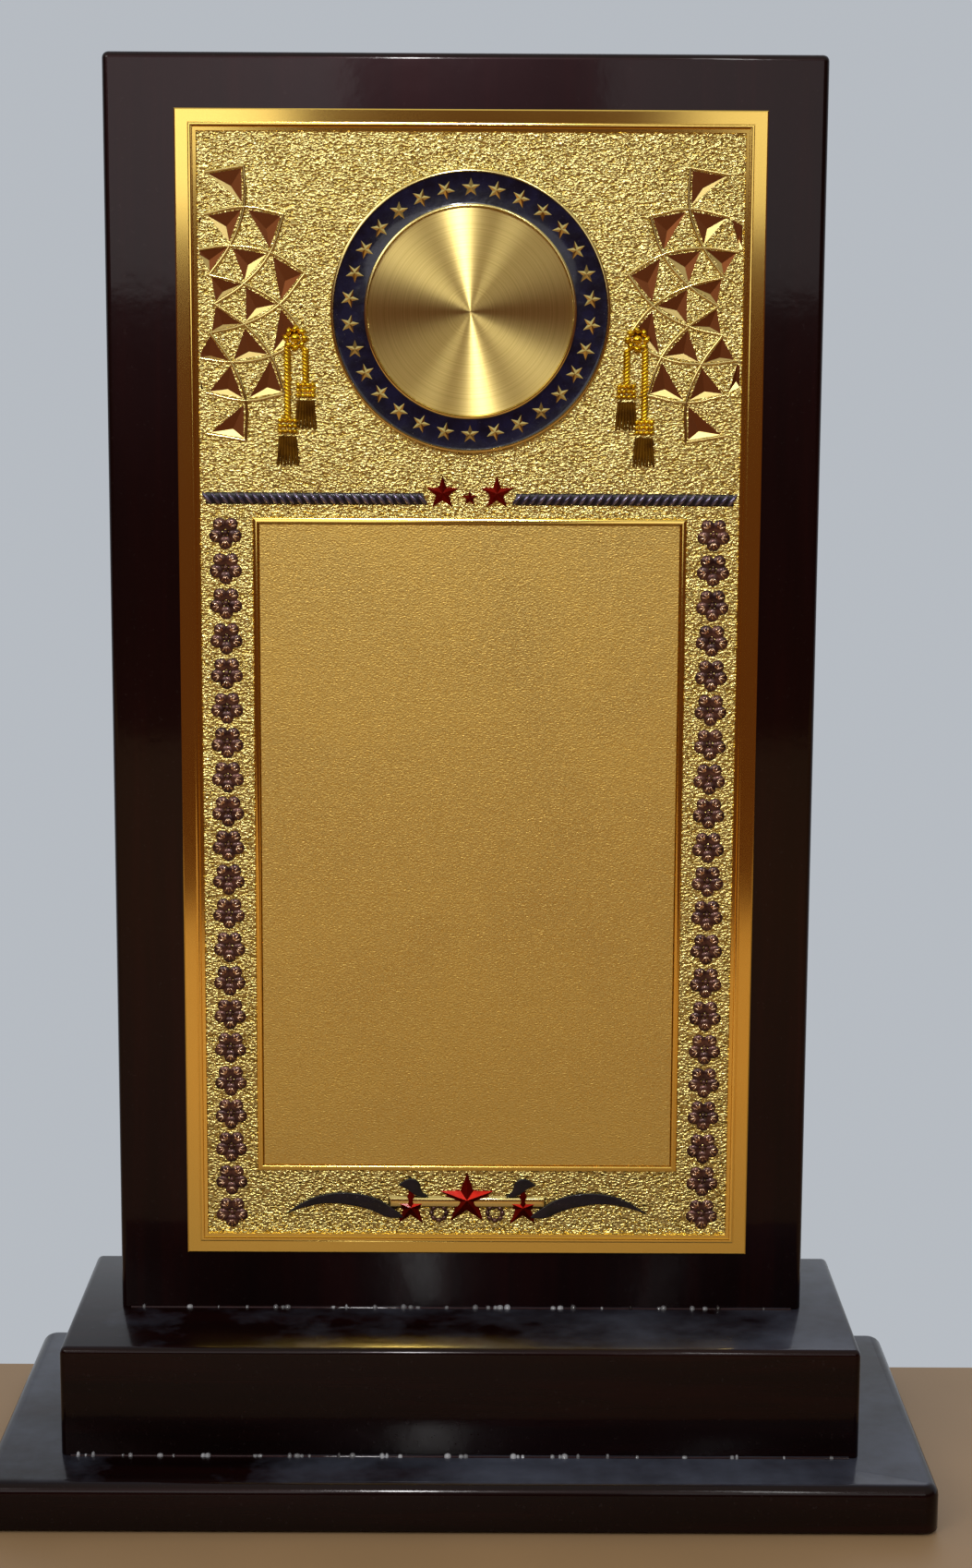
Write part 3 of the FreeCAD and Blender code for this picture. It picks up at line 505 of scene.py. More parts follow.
bm = bmesh.new()
for corners in lattice_triangles():
    centre = sum(corners, Vector()) / 3
    made = bmesh.ops.create_circle(bm, cap_ends=True, segments=3, radius=1.0)
    for vertex, corner in zip(made["verts"], corners):
        vertex.co = centre + (corner - centre) * PIT_SHRINK
edge_x = field_size[0] / 2 - TRIM
for side in (-1, 1):
    bmesh.ops.bisect_plane(bm, geom=bm.verts[:] + bm.edges[:] + bm.faces[:],
                           plane_co=(side * edge_x, 0, 0), plane_no=(side, 0, 0),
                           clear_outer=True)
bmesh.ops.recalc_face_normals(bm, faces=bm.faces[:])
face_viewer(bm)
pits = bm.faces[:]
sheet_face = rectangle(bm, field_size[0], field_size[1], 0, PLATE_H / 2)
bmesh.ops.delete(bm, geom=[sheet_face], context="FACES_ONLY")
bmesh.ops.triangle_fill(bm, edges=bm.edges[:], use_beauty=True, normal=(0, 0, 1))
face_viewer(bm)
walls = bmesh.ops.poke(bm, faces=pits, offset=-PIT_DEPTH, center_mode="MEAN")
for deepest in walls["verts"]:
    deepest.co.y -= PIT_DROP
# Walls that face up get the painted highlight, and the others get the painted shade.
for wall in walls["faces"]:
    wall.normal_update()
    wall.material_index = 2 if wall.normal.y > 0.2 else 1
bmesh.ops.translate(bm, vec=(0, 0, SHEET), verts=bm.verts[:])
piece("Pebbled_Field", bm, [field_gold, pit_gold_painted_shade, crescent_gold_painted_highlight], ["award_plate"],
      PLATE, crisp=4, recalc=False)

# %% [markdown]
# ## Lattice lines
# Thin raised lines run along the curves through the triangles' corners. Each is a curve with a
# round bevel, half sunk in the sheet, turned into a mesh before it is stood up on the plate.

# %% Raised lattice lines
LINE_RADIUS, LINE_LIFT, LAST_STEP = 0.42, 0.10, 6


def add_spline(curve, spots, sharp=(), closed=False):
    """Adds a smooth line through the spots, with a corner at each sharp one."""
    spline = curve.splines.new("BEZIER")
    spline.bezier_points.add(len(spots) - 1)
    for point, spot in zip(spline.bezier_points, spots):
        point.co = spot
        kind = "VECTOR" if (abs(spot[0]), spot[1]) in sharp else "AUTO"
        point.handle_left_type = point.handle_right_type = kind
    spline.use_cyclic_u = closed


def add_curve(bm, curve, level):
    """Adds the curve's mesh to bm, raised to a level."""
    holder = bpy.data.objects.new("outline", curve)
    mesh = bpy.data.meshes.new_from_object(holder)
    before = set(bm.verts)
    bm.from_mesh(mesh)
    fresh = [v for v in bm.verts if v not in before]
    bmesh.ops.translate(bm, vec=(0, 0, level), verts=fresh)
    bpy.data.objects.remove(holder)
    bpy.data.meshes.remove(mesh)


curve = bpy.data.curves.new("lattice", "CURVE")
curve.dimensions = "3D"
curve.resolution_u = 4
curve.bevel_depth = LINE_RADIUS
curve.bevel_resolution = 2
curve.use_fill_caps = True
for side in (-1, 1):
    for start in (5, 3, 1, -1, -3, -5):
        for turn in (1, -1):
            chain = [lattice_point(side, ring, start + turn * ring) for ring in range(4)
                     if abs(start + turn * ring) <= LAST_STEP]
            chain = [p for p in chain if abs(p.x) < edge_x + 1.5]
            for p in chain:
                p.x = max(-edge_x, min(edge_x, p.x))
            if len(chain) > 1:
                add_spline(curve, chain)
bm = bmesh.new()
add_curve(bm, curve, SHEET + LINE_LIFT)
piece("Lattice_Lines", bm, [relief_gold], ["award_plate"], PLATE, crisp=60)

# %% [markdown]
# ## The panel and its frame
# A raised frame surrounds the blank panel. It slopes gently up to a narrow flat top and drops
# steeply inside, so that its upper bar catches the light. It is another walk of insets. The panel
# is a separate satin sheet with its edge just eased.

# %% Panel frame and inscription panel
FRAME_WIDTH = 1.8
panel_x, panel_y, panel_w, panel_h = on_plate("inscription_panel")
bm = bmesh.new()
frame_face = rectangle(bm, panel_w + 2 * FRAME_WIDTH, panel_h + 2 * FRAME_WIDTH, panel_x,
                       panel_y, SHEET - 0.05)
inside = walk_in(bm, frame_face, ((0.30, 0.62), (0.80, 0.24), (0.20, 0.0), (0.22, -0.12),
                                  (0.28, -0.68)))
bmesh.ops.delete(bm, geom=[inside], context="FACES_ONLY")
piece("Panel_Frame", bm, [polished_gold], ["award_plate"], PLATE, crisp=18,
      recalc=False)

bm = bmesh.new()
top = raised(bm, rectangle(bm, panel_w, panel_h, panel_x, panel_y, SHEET + 0.15), 0.28)
walk_in(bm, top, ((0.12, 0.12),))
piece("Inscription_Panel", bm, [satin_gold], ["inscription_panel"], PLATE)

# %% [markdown]
# ## Enamels and lacquers
# Coloured lacquer lies over the struck metal. It is glossy and a little deeper where it is thick,
# so its colour wanders between two tones, and a clear coat gives the gloss.

# %% Finish: enamel
def enamel(name, thin, thick, rough=0.22, size=260.0, metal=0.0, grit=0.0, coat=0.5):
    material, tree, shader = new_finish(
        name, Roughness=rough, Metallic=metal, Coat_Weight=coat, Coat_Roughness=0.06,
        Specular_IOR_Level=0.3)
    cloud = noise(tree, object_place(tree), size, 3.0)
    tone = ramp(tree, cloud, ((0.36, thin), (0.64, thick)))
    marks = use_group(tree, dust, Speck_size=1700.0, Smear_size=60.0)
    faint = arithmetic(tree, "MULTIPLY", marks.outputs["Specks"], 0.12)
    feed(tree, shader, {"Base Color": blend(tree, faint, tone, (0.5, 0.45, 0.38, 1.0))})
    if grit:
        feed(tree, shader, {"Normal": bumped(tree, cloud, grit)})
    return material


navy = enamel("Navy enamel", (0.008, 0.009, 0.036), (0.003, 0.003, 0.013), grit=0.00012)
red = enamel("Red enamel", (0.25, 0.010, 0.005), (0.13, 0.004, 0.002), metal=1.0, coat=0.05,
             rough=0.38)
plum = enamel("Plum lacquer", (0.13, 0.055, 0.042), (0.045, 0.018, 0.018), metal=0.6, rough=0.25,
              coat=0.3)
# The ridges' pale pink-gold is lacquer worn to the gold, and also a painted highlight.
worn_plum_and_highlight = enamel("Worn plum lacquer, painted highlight", (0.90, 0.66, 0.46), (0.34, 0.17, 0.12), metal=1.0,
                   rough=0.16, coat=0.3, size=900.0)
violet = enamel("Blue violet lacquer", (0.25, 0.22, 0.33), (0.08, 0.07, 0.13), metal=0.8,
                coat=0.5, size=600.0, rough=0.18)
ink = enamel("Near-black navy lacquer", (0.010, 0.006, 0.012), (0.004, 0.003, 0.005), coat=0.1,
             rough=0.35)
yellow = enamel("Yellow gold lacquer", (0.95, 0.66, 0.03), (0.62, 0.38, 0.01), metal=1.0,
                rough=0.20, coat=0.3)
brown = enamel("Brown lacquer", (0.30, 0.15, 0.012), (0.15, 0.065, 0.006), metal=0.7, coat=0.3)
print("enamels made")

# %% [markdown]
# ## The star ring
# The ring is a stamping: floor, outer rim and inner lip. Its section is a short chain of vertices,
# and a spin about the middle turns it into the ring. The enamel in the channel is spun too, with a
# slight rise where it meets the rims.

# %% Spun ring and enamel
ring_x, ring_y, ring_w, _ = on_plate("medallion_ring")
RING = PLATE @ moved(ring_x, ring_y, SHEET)


def spun(section, steps=144):
    bm = bmesh.new()
    corners = [bm.verts.new((r, 0, z)) for r, z in section]
    edges = [bm.edges.new(pair) for pair in zip(corners, corners[1:] + corners[:1])]
    bmesh.ops.spin(bm, geom=corners + edges, cent=(0, 0, 0), axis=(0, 0, 1),
                   angle=2 * math.pi, steps=steps, use_merge=True)
    return bm


outer = ring_w / 2
bm = spun(((25.5, 0), (25.5, 1.30), (25.62, 1.48), (25.95, 1.5), (26.2, 1.28), (26.2, 0.5),
           (33.75, 0.5), (33.75, 1.25), (33.95, 1.5), (34.35, 1.5), (34.62, 1.25), (outer, 0)))
piece("Star_Ring", bm, [relief_gold], ["medallion_ring"], RING, crisp=45)
bm = spun(((26.2, 0.5), (26.2, 1.05), (26.6, 0.96), (33.3, 0.96), (33.75, 1.05), (33.75, 0.5)))
piece("Ring_Enamel", bm, [navy], ["ring_enamel"], RING, crisp=50)

# %% [markdown]
# ## Stars
# A star starts as a ten-sided disc. Every other corner is drawn in to a waist, the outline is
# raised to make a short wall, and the top is poked up into a point, which gives ten facets that
# catch the light. On the right half of the ring the tips point outwards, and on the left half
# inwards.

# %% Star helper and the thirty ring stars
WAIST = 0.40
STARS, STAR_CIRCLE = 30, 30.0


def add_star(bm, x, y, reach, base, rim, peak, turn=0.0):
    corners = bmesh.ops.create_circle(bm, cap_ends=True, segments=10, radius=reach)["verts"]
    for vertex in corners:
        step = round(math.atan2(vertex.co.x, vertex.co.y) / math.radians(36))
        if step % 2:
            vertex.co *= WAIST
    bmesh.ops.transform(bm, matrix=moved(x, y, base, -turn), verts=corners)
    top = raised(bm, corners[0].link_faces[0], rim - base)
    top.normal_update()
    upward = 1.0 if top.normal.z > 0 else -1.0
    bmesh.ops.poke(bm, faces=[top], offset=upward * (peak - rim), center_mode="MEAN")


bm = bmesh.new()
for k in range(STARS):
    turn = math.radians(360.0 / STARS * k)
    lean = turn if k < STARS // 2 else turn - math.pi
    add_star(bm, STAR_CIRCLE * math.sin(turn), STAR_CIRCLE * math.cos(turn), 2.35, 0.5, 1.0, 1.5,
             lean)
piece("Ring_Stars", bm, [relief_gold], ["medallion_ring"], RING, crisp=10)

# %% [markdown]
# ## The spun disc
# The disc is gold sheet brushed in circles on a lathe. Light draws out into bright spokes that
# cross the grooves. The shader does this with strong anisotropy: its tangent at each point is the
# direction from the disc's middle, worked out from Object coordinates.

# %% Finish: spun brushing, and the disc
disc_x, disc_y, disc_w, _ = on_plate("medallion_disc")
disc_centre = PLATE @ Vector((disc_x, disc_y, 0))

spun_gold, tree, shader = new_finish("Spun gold", Metallic=1.0, Roughness=0.31, Anisotropic=1.0)
offset = node(tree, "VectorMath", {0: object_place(tree), 1: disc_centre}, operation="SUBTRACT")
flat = node(tree, "VectorMath", {0: offset.outputs["Vector"], 1: (1.0, 0.0, 1.0)},
            operation="MULTIPLY").outputs["Vector"]
spoke = node(tree, "VectorMath", {0: flat}, operation="NORMALIZE").outputs["Vector"]
reach = node(tree, "VectorMath", {0: flat}, operation="LENGTH").outputs["Value"]
groove = node(tree, "TexNoise", {"W": reach, "Scale": 2600.0, "Detail": 3.0},
              noise_dimensions="1D").outputs["Fac"]
tone = ramp(tree, groove, ((0.30, (0.76, 0.59, 0.19)), (0.70, (0.90, 0.72, 0.28))))
feed(tree, shader, {"Tangent": spoke, "Base Color": tone,
                    "Normal": bumped(tree, groove, 0.00002, 0.35)})

bm = bmesh.new()
made = bmesh.ops.create_circle(bm, cap_ends=True, segments=144, radius=disc_w / 2)
top = raised(bm, made["verts"][0].link_faces[0], 0.42)
bmesh.ops.inset_region(bm, faces=[top], thickness=0.08, depth=0.08, use_even_offset=True)
piece("Spun_Disc", bm, [spun_gold], ["medallion_disc"],
      PLATE @ moved(disc_x, disc_y, SHEET + 0.15), crisp=40)

# %% [markdown]
# ## Rope bars
# Two bars of twisted cord cross the plate under the medallion. In relief, a twisted cord is a row
# of fat slanted strands. Each strand is a small sphere, drawn long, tilted and half sunk. A flat
# near-black rod behind them closes the gaps and shows between the strands as painted shade. The
# left bar slants one way and the right bar the other, as if one cord were tied at the stars.

# %% Rope strands
STRANDS, HALF_STRAND = 27, 1.1


def add_blob(bm, x, y, z, long, wide, high, turn=0.0, around=10, up=6):
    made = bmesh.ops.create_uvsphere(bm, u_segments=around, v_segments=up, radius=1.0)
    bmesh.ops.transform(bm, matrix=moved(x, y, z, turn) @ stretched(long, wide, high),
                        verts=made["verts"])


def add_rod(bm, middle, long, wide, high, segments):
    """Adds a rod that lies across; wide and high are half its width and height."""
    made = bmesh.ops.create_cone(bm, cap_ends=True, segments=segments, radius1=1.0, radius2=1.0,
                                 depth=1.0)
    bmesh.ops.transform(bm, verts=made["verts"],
                        matrix=Matrix.Translation(middle) @ stretched(long, wide, high)
                        @ Matrix.Rotation(math.pi / 2, 4, "Y"))
    return {face for vertex in made["verts"] for face in vertex.link_faces}


for side, name, node_name in ((-1, "Rope_Left", "rope_left"), (1, "Rope_Right", "rope_right")):
    mid_x, mid_y, long, _ = on_plate(node_name)
    run = long - 2 * HALF_STRAND
    strand = bmesh.new()
    add_blob(strand, 0, 0, 0, 2.0, 0.66, 0.95, side * math.radians(52))
    bm = bmesh.new()
    stamp(bm, strand, [moved(mid_x - run / 2 + run / (STRANDS - 1) * k, mid_y, SHEET)
                       for k in range(STRANDS)])
    # The near-black rod between the strands is painted shade.
    for face in add_rod(bm, (mid_x, mid_y, SHEET), long - 1.6, 1.5, 0.38, 16):
        face.material_index = 1
    piece(name, bm, [violet, ink], [node_name], PLATE, crisp=80)

# %% [markdown]
# ## The red stars
# The same star, larger and in red enamel, stands between the ropes and again at the plate's foot:
# a pair with a small one between, and a big one with a smaller one on each side.

# %% Divider and emblem stars
bm = bmesh.new()
for x in (-6.8, 6.8):
    add_star(bm, x, 197.6, 4.3, SHEET, SHEET + 0.35, SHEET + 1.2)
add_star(bm, 0.0, 196.4, 2.1, SHEET, SHEET + 0.25, SHEET + 0.8)
piece("Divider_Stars", bm, [red], ["divider_stars"], PLATE, crisp=10)

bm = bmesh.new()
add_star(bm, 0.0, 14.8, 7.2, SHEET, SHEET + 0.4, SHEET + 1.5)
for x in (-14.6, 14.6):
    add_star(bm, x, 12.7, 5.4, SHEET, SHEET + 0.4, SHEET + 1.3)
piece("Emblem_Stars", bm, [red], ["emblem_stars"], PLATE, crisp=10)

# %% [markdown]
# ## Rosettes
# A column of small flowers stands on each side of the panel. Every petal is a round lobe with
# three ridges, so it shows several short glints. A flattened blob makes the lobe, three thin ones
# fan out over it in a pale gold, which is lacquer worn to the gold and a painted highlight in one,
# and five petals with one pointing down make the flower. One flower is drawn once and stamped
# down the column.

# %% Rosette columns
ROSETTES, TOP_ROSETTE, ROSETTE_PITCH = 21, 187.5, 8.82
PETALS = 5


def draw_rosette():
    flower = bmesh.new()
    turns = [math.radians(360 / PETALS * k + 36) for k in range(PETALS)]
    for turn in turns:
        out = Vector((math.sin(turn), math.cos(turn)))
        add_blob(flower, out.x * 2.45, out.y * 2.45, 0, 1.8, 1.75, 0.45, math.pi / 2 - turn,
                 around=12)
    lobes = flower.faces[:]
    for turn in turns:
        out = Vector((math.sin(turn), math.cos(turn)))
        for fan in (-0.62, 0.0, 0.62):
            spot = out * 1.75 + Vector((math.sin(turn + fan), math.cos(turn + fan))) * 1.05
            add_blob(flower, spot.x, spot.y, 0.30, 0.95, 0.30, 0.42, math.pi / 2 - turn - fan,
                     around=8, up=5)
    # The ridges take the pale worn gold, which is also a painted highlight.
    for face in set(flower.faces) - set(lobes):
        face.material_index = 1
    add_blob(flower, 0, 0, 0.1, 0.8, 0.8, 0.6, around=8, up=5)
    return flower


for name, node_name in (("Rosettes_Left", "rosettes_left"), ("Rosettes_Right", "rosettes_right")):
    mid_x = on_plate(node_name)[0]
    bm = bmesh.new()
    stamp(bm, draw_rosette(), [moved(mid_x, TOP_ROSETTE - ROSETTE_PITCH * k, SHEET)
                               for k in range(ROSETTES)])
    piece(name, bm, [plum, worn_plum_and_highlight], [node_name], PLATE, crisp=80)

# %% [markdown]
# ## The emblem
# Under the panel, dark ribbon wings sweep out from the three stars, with a curl above each outer
# star. A filled 2-D curve with a small round bevel gives a flat relief with soft edges. A gold band
# with rounded shoulders lies behind the stars, and a small beaded ring hangs on each side of the
# middle one.

# %% Ribbons, curls, gold band and rings
WING = ((16.0, 9.8), (20.5, 9.9), (24.5, 11.6), (29.5, 13.0), (36.0, 13.6), (42.0, 12.6),
        (47.0, 10.9), (42.0, 14.2), (36.0, 16.2), (29.5, 16.4), (24.0, 15.1), (19.6, 12.6))
CURL = ((10.0, 15.4), (11.7, 17.0), (12.6, 19.4), (14.8, 20.4), (18.0, 18.6), (16.0, 17.8),
        (14.4, 16.6), (12.6, 15.6))
SHARP = {WING[0], WING[6], CURL[0], CURL[4]}
RIBBON_HIGH, RIBBON_EDGE = 0.5, 0.22


def add_ribbon(bm, outline):
    curve = bpy.data.curves.new("ribbon", "CURVE")
    curve.dimensions = "2D"
    curve.fill_mode = "BOTH"
    curve.extrude = RIBBON_HIGH / 2
    curve.bevel_depth = RIBBON_EDGE
    curve.bevel_resolution = 2
    curve.resolution_u = 6
    curve.offset = -RIBBON_EDGE
    add_spline(curve, outline, SHARP, closed=True)
    add_curve(bm, curve, SHEET + RIBBON_HIGH / 2)


def add_ring(bm, x, y, z, radius, long, wide, high, slant, **detail):
    for k in range(8):
        turn = math.radians(45 * k)
        add_blob(bm, x + radius * math.cos(turn), y + radius * math.sin(turn), z, long, wide,
                 high, turn + slant, **detail)


bm = bmesh.new()
for side in (-1, 1):
    for outline in (WING, CURL):
        add_ribbon(bm, [(side * x, y, 0) for x, y in outline])
piece("Emblem_Ribbons", bm, [ink], ["emblem_ribbons"], PLATE, crisp=50)

bm = bmesh.new()
band = rectangle(bm, 41.0, 3.4, 0, 13.9, SHEET - 0.02)
walk_in(bm, band, ((0.35, 0.42), (0.45, 0.26), (0.50, 0.12)))
piece("Emblem_Band", bm, [relief_gold], ["award_plate"], PLATE, recalc=False)

bm = bmesh.new()
for x in (-7.3, 7.3):
    add_ring(bm, x, 11.0, SHEET, 1.9, 0.95, 0.7, 0.7, math.pi / 2, around=8, up=5)
piece("Emblem_Rings", bm, [plum], ["award_plate"], PLATE, crisp=80)

# %% [markdown]
# ## Tassels
# A tied cord hangs from each lattice: a knot, two beaded cords, and a tassel on each, one lower
# than the other. The knot is a ring of beads round a bigger one, the cords are chains of beads,
# and each head is three rows of four beads. `TASSELS` holds each tassel's place across, the height
# of its head's top and the height of its foot.

# %% Knots, cords and heads
TASSELS = ((44.3, 216.2, 204.3), (39.8, 225.0, 213.4))
KNOT = (42.3, 235.6)
CORD_STEP = 0.9


def add_cord(bm, x, high, low):
    count = round((high - low) / CORD_STEP)
    bead = bmesh.new()
    add_blob(bead, 0, 0, 0, 1.25, 0.58, 0.8, math.radians(40), around=8, up=5)
    stamp(bm, bead, [moved(x, low + (high - low) * (k + 0.5) / count, SHEET + 0.1)
                     for k in range(count)])


for side, name, node_name in ((-1, "Tassel_Left", "tassel_left"),
                              (1, "Tassel_Right", "tassel_right")):
    bm = bmesh.new()
    shift = side * LATTICE_SHIFT
    add_ring(bm, KNOT[0] + shift, KNOT[1], SHEET + 0.2, 2.3, 1.15, 0.8, 0.95, 0.9)
    add_blob(bm, KNOT[0] + shift, KNOT[1], SHEET + 0.2, 1.35, 1.35, 1.1)
    for x, head, _ in TASSELS:
        add_cord(bm, x + shift, KNOT[1] - 2.4, head - 0.6)
        for row in range(3):
            for dot in range(4):
                add_blob(bm, x + shift + 1.22 * (dot - 1.5), head - 1.3 * row - 0.8, SHEET + 0.2,
                         0.80, 0.60, 0.85, math.radians(25), around=8, up=5)
    if side < 0:
        bmesh.ops.scale(bm, vec=(-1, 1, 1), verts=bm.verts[:])
    piece(name, bm, [yellow], [node_name], PLATE, crisp=80)

# %% [markdown]
# ## Tassel skirts
# Each skirt is seven straight threads that fan out from under the head. Every second thread is a
# little shorter, so the hem is uneven.

# %% Tassel skirts
THREADS, HEAD_HIGH = 7, 4.6

bm = bmesh.new()
for side in (-1, 1):
    for x, head, foot in TASSELS:
        top = head - HEAD_HIGH
        for k in range(THREADS):
            lean = (k - 3) / 3
            made = bmesh.ops.create_cone(bm, cap_ends=True, segments=6, radius1=0.5,
                                         radius2=0.36, depth=1.0)
            tall = top - foot - 0.25 * (k % 2)
            place = (Matrix.Translation((side * (x + side * LATTICE_SHIFT) + 2.15 * lean,
                                         top - tall / 2, SHEET + 0.25))
                     @ Matrix.Rotation(0.10 * lean, 4, "Z") @ Matrix.Rotation(math.pi / 2, 4, "X")
                     @ stretched(1.0, 1.0, tall))
            bmesh.ops.transform(bm, matrix=place, verts=made["verts"])
piece("Tassel_Skirts", bm, [brown], ["tassel_skirts"], PLATE, crisp=70)

# %% [markdown]
# ## Beads of lacquer in the joints
# Lacquer gathers where the board meets the upper tier and where the upper tier meets the lower
# one. It dries as a thin uneven line with small drops on it. The line is a thin rod half sunk in
# the corner, and the drops are little blobs at uneven steps. The drops are coloured light grey in
# uneven amounts, so that they show as light dots: painted glints.

# %% Lacquer beads
END_GAP = 0.0025
bead_gloss = lacquered_wood("Lacquer bead", (300.0, 300.0, 300.0))
bead_gloss.node_tree.nodes["Principled BSDF"].inputs["Coat Roughness"].default_value = 0.04
# Light grey on the drops, stronger on some than on others: painted glints.
milky_painted_glints = enamel("Milky drops, painted glints", (0.42, 0.43, 0.48), (0.015, 0.010, 0.012), size=85.0, coat=1.0,
               rough=0.12)


def joint_bead(name, upper, lower, radius, seed):
    uneven = random.Random(seed)
    up_low, up_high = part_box(upper)
    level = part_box(lower)[1].z
    inner = up_high.x - END_GAP
    bm = bmesh.new()
    for y in (up_low.y, up_high.y):
        add_rod(bm, (0, y, level), 2 * inner, radius, radius, 8)
        line = set(bm.faces)
        x = -inner
        while x < inner:
            long = uneven.uniform(0.0004, 0.0011)
            high = radius * uneven.uniform(1.1, 2.3)
            x += uneven.choice((0.0012, 0.0019, 0.0034, 0.0075, 0.0120))
            if x > inner:
                break
            add_blob(bm, x, y, level, long, high, high, around=8, up=5)
        for face in set(bm.faces) - line:
            face.material_index = 1
    piece(name, bm, [bead_gloss, milky_painted_glints], (), None, crisp=60)


joint_bead("Bead_Under_Board", "backing_board", "base_block", 0.0005, 3)
joint_bead("Bead_Under_Upper_Tier", "base_block", "base_plinth", 0.0005, 8)

# %% [markdown]
# ## Hidden and plain parts
# The felt, the screws, the tapes and the films keep their CAD shapes. Each gets its own finish,
# because they show from below or where the pieces are taken apart.

# %% Finishes for the CAD nodes that stay
def plain(name, dark, light, size, rough, metal=0.0, fuzz=0.0, bump_high=0.00005):
    material, tree, shader = new_finish(name, Metallic=metal, Roughness=rough, Sheen_Weight=fuzz)
    cloud = noise(tree, object_place(tree), size, 5.0)
    feed(tree, shader, {"Base Color": ramp(tree, cloud, ((0.3, dark), (0.7, light))),
                        "Normal": bumped(tree, cloud, bump_high)})
    return material


felt = plain("Black felt", (0.006, 0.006, 0.007), (0.03, 0.03, 0.032), 1800.0, 0.95, fuzz=0.6,
             bump_high=0.0003)
zinc = plain("Zinc-plated steel", (0.42, 0.42, 0.43), (0.62, 0.62, 0.64), 400.0, 0.35, metal=1.0)
foam = plain("Foam tape", (0.70, 0.70, 0.67), (0.85, 0.85, 0.82), 900.0, 0.8)
film = plain("Adhesive film", (0.62, 0.58, 0.46), (0.74, 0.70, 0.58), 600.0, 0.4)
for node_name, finish in (("base_felt", felt), ("board_screws", zinc), ("plinth_screws", zinc),
                          ("plate_tape", foam), ("panel_film", film), ("disc_film", film)):
    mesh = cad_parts[node_name].data
    mesh.materials.clear()
    mesh.materials.append(finish)

# %% [markdown]
# ## Table top
# The plaque stands near the back edge of a plain pale table top. It is a slab with eased edges, so
# it also looks right from behind. Its front matters too: polished gold near the plaque's foot
# mirrors the table, and higher up it mirrors the dim room beyond the table's front edge. Towards
# the front the table is painted brighter and warmer: painted light, which the gold mirrors.

# %% Table top
TABLE_WIDE, TABLE_THICK = 1.8, 0.025
TABLE_FRONT, TABLE_BACK = -0.67, 0.0615
bm = bmesh.new()
bmesh.ops.create_cube(bm, size=1.0)
bmesh.ops.transform(
    bm, verts=bm.verts[:],
    matrix=Matrix.Translation((0, (TABLE_FRONT + TABLE_BACK) / 2, -TABLE_THICK / 2))
    @ stretched(TABLE_WIDE, TABLE_BACK - TABLE_FRONT, TABLE_THICK))
bmesh.ops.bevel(bm, geom=bm.edges[:], offset=0.0012, segments=2, profile=0.5, affect="EDGES",
                clamp_overlap=True, material=-1)
mesh = bpy.data.meshes.new("Table_Top")
bm.to_mesh(mesh)
bm.free()
material, tree, shader = new_finish("Pale table top", Roughness=0.55)
where = object_place(tree)
pale = ramp(tree, noise(tree, where, 14.0), (
    (0.3, (0.31, 0.195, 0.10)), (0.7, (0.35, 0.22, 0.115))))
# Towards the front the table's colour grows brighter and warmer: painted light.
painted_light_depth = node(tree, "SeparateXYZ", {"Vector": where}).outputs["Y"]
wood = blend(tree, remap(tree, painted_light_depth, -0.14, -0.34), pale, (0.52, 0.27, 0.085, 1.0))
feed(tree, shader, {"Base Color": wood})
mesh.materials.append(material)
table = bpy.data.objects.new("Table_Top", mesh)
bpy.context.scene.collection.objects.link(table)
print("table top reaches from", TABLE_FRONT, "to", TABLE_BACK)

# %% [markdown]
# ## Lights
# A big soft light stands high on the left. A narrow one above the camera draws the bright spoke on
# the disc, and a weak narrow one on the right adds a faint second spoke. Two low soft lights give
# the polished border and the board something bright to mirror near the top. One light behind
# keeps the back readable.

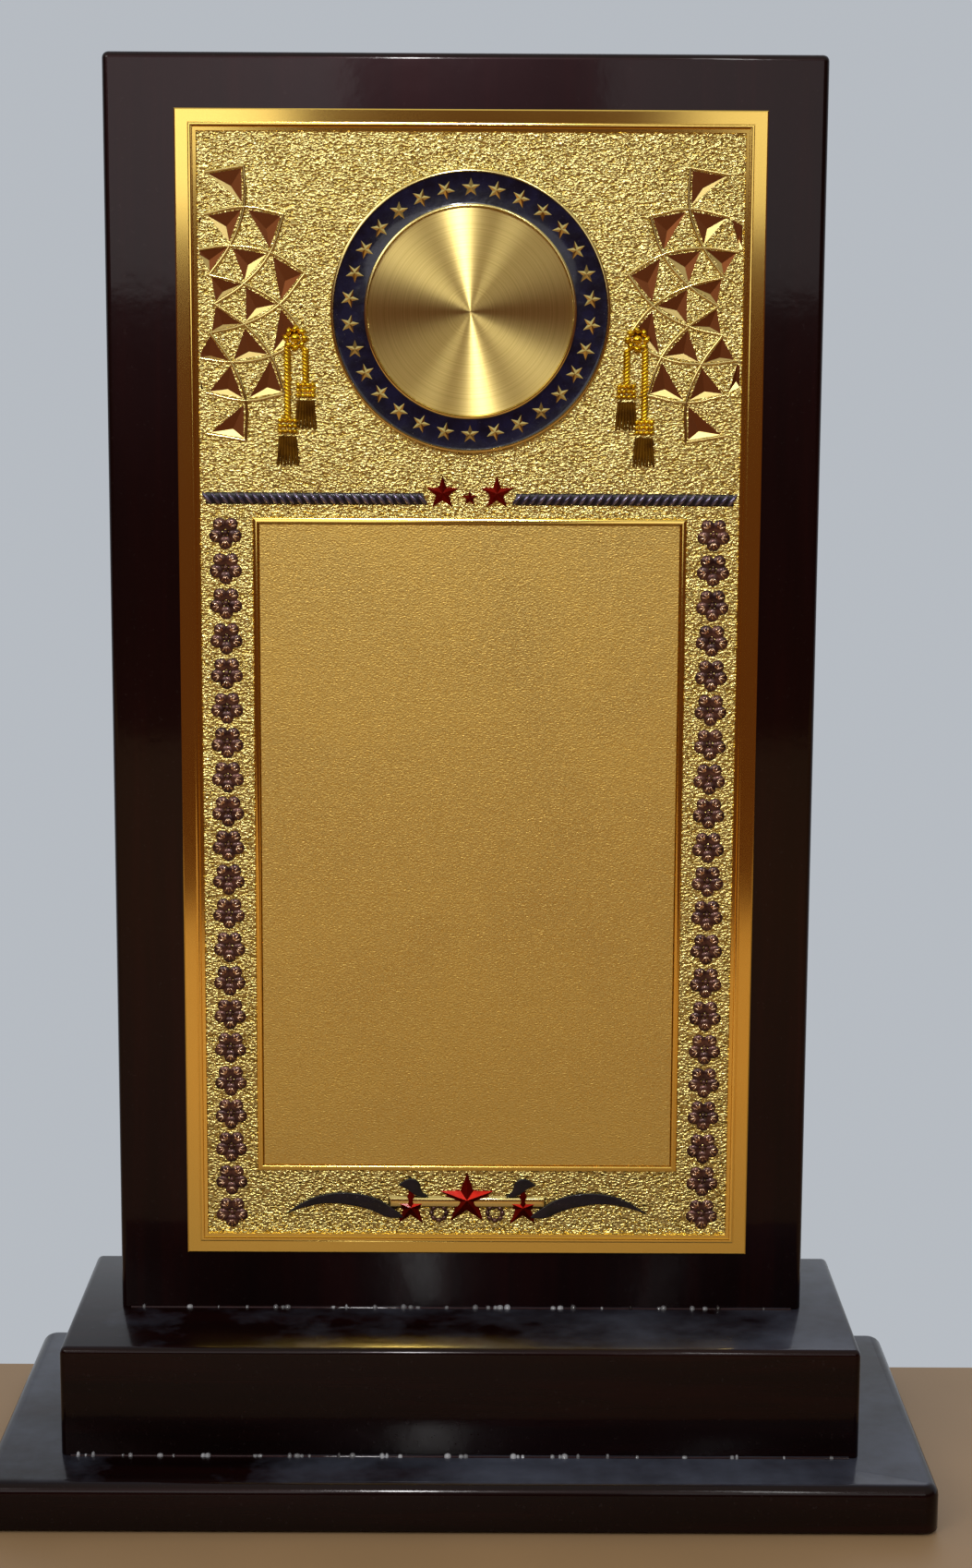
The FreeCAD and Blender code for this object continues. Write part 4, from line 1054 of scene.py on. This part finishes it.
# %% Lights
def soft_light(name, place, target, wide, tall, watts, colour=(1, 1, 1)):
    data = bpy.data.lights.new(name, "AREA")
    data.shape = "RECTANGLE"
    data.size = wide
    data.size_y = tall
    data.energy = watts
    data.color = colour
    lamp = bpy.data.objects.new(name, data)
    lamp.location = place
    lamp.rotation_euler = (Vector(target) - Vector(place)).to_track_quat("-Z", "Y").to_euler()
    bpy.context.scene.collection.objects.link(lamp)


soft_light("Key_Soft", (-0.9, -1.2, 1.05), (0, 0, 0.2), 0.6, 0.6, 4.8, (1.0, 0.98, 0.93))
soft_light("Strip_Above", (-0.095, -1.5, 1.06), (0, 0, 0.3), 0.045, 0.36, 6.6)
soft_light("Fill_Right", (0.40, -1.4, 1.20), (0, 0, 0.2), 0.06, 0.5, 1.6)
soft_light("Window_Left", (-0.44, -1.60, 0.65), (-0.10, 0, 0.3), 0.50, 0.44, 1.0)
soft_light("Window_Right", (0.46, -1.60, 0.65), (0.10, 0, 0.3), 0.50, 0.44, 0.7)
soft_light("Behind", (0.3, 1.4, 1.3), (0, 0, 0.15), 0.8, 0.8, 1.8, (0.93, 0.96, 1.0))

# %% [markdown]
# ## The room
# The world stands in for the room: a pale wall behind the plaque, and in front of it a dim warm
# space that grows brighter towards the ceiling. Gold only looks like gold when it mirrors such a
# change from dark to light. The camera itself sees the pale wall all round.

# %% Room
world = bpy.data.worlds.new("Room")
bpy.context.scene.world = world
world.use_nodes = True
tree = world.node_tree
toward = node(tree, "TexCoord", {}).outputs["Generated"]
axes = node(tree, "SeparateXYZ", {"Vector": toward})
front = ramp(tree, axes.outputs["Z"], (
    (0.00, (0.090, 0.032, 0.014)), (0.26, (0.10, 0.060, 0.035)), (0.50, (0.46, 0.44, 0.36)),
    (1.00, (0.58, 0.56, 0.50))))
behind = remap(tree, axes.outputs["Y"], -0.05, 0.15)
rays = node(tree, "LightPath", {})
seen = arithmetic(tree, "MAXIMUM", behind, rays.outputs["Is Camera Ray"])
room = blend(tree, seen, front, (0.47, 0.50, 0.54, 1.0))
feed(tree, tree.nodes["Background"], {"Color": room})

bpy.context.scene.view_settings.view_transform = "Standard"
print("room and lights made")

# %% Finish
bpy.context.view_layer.update()
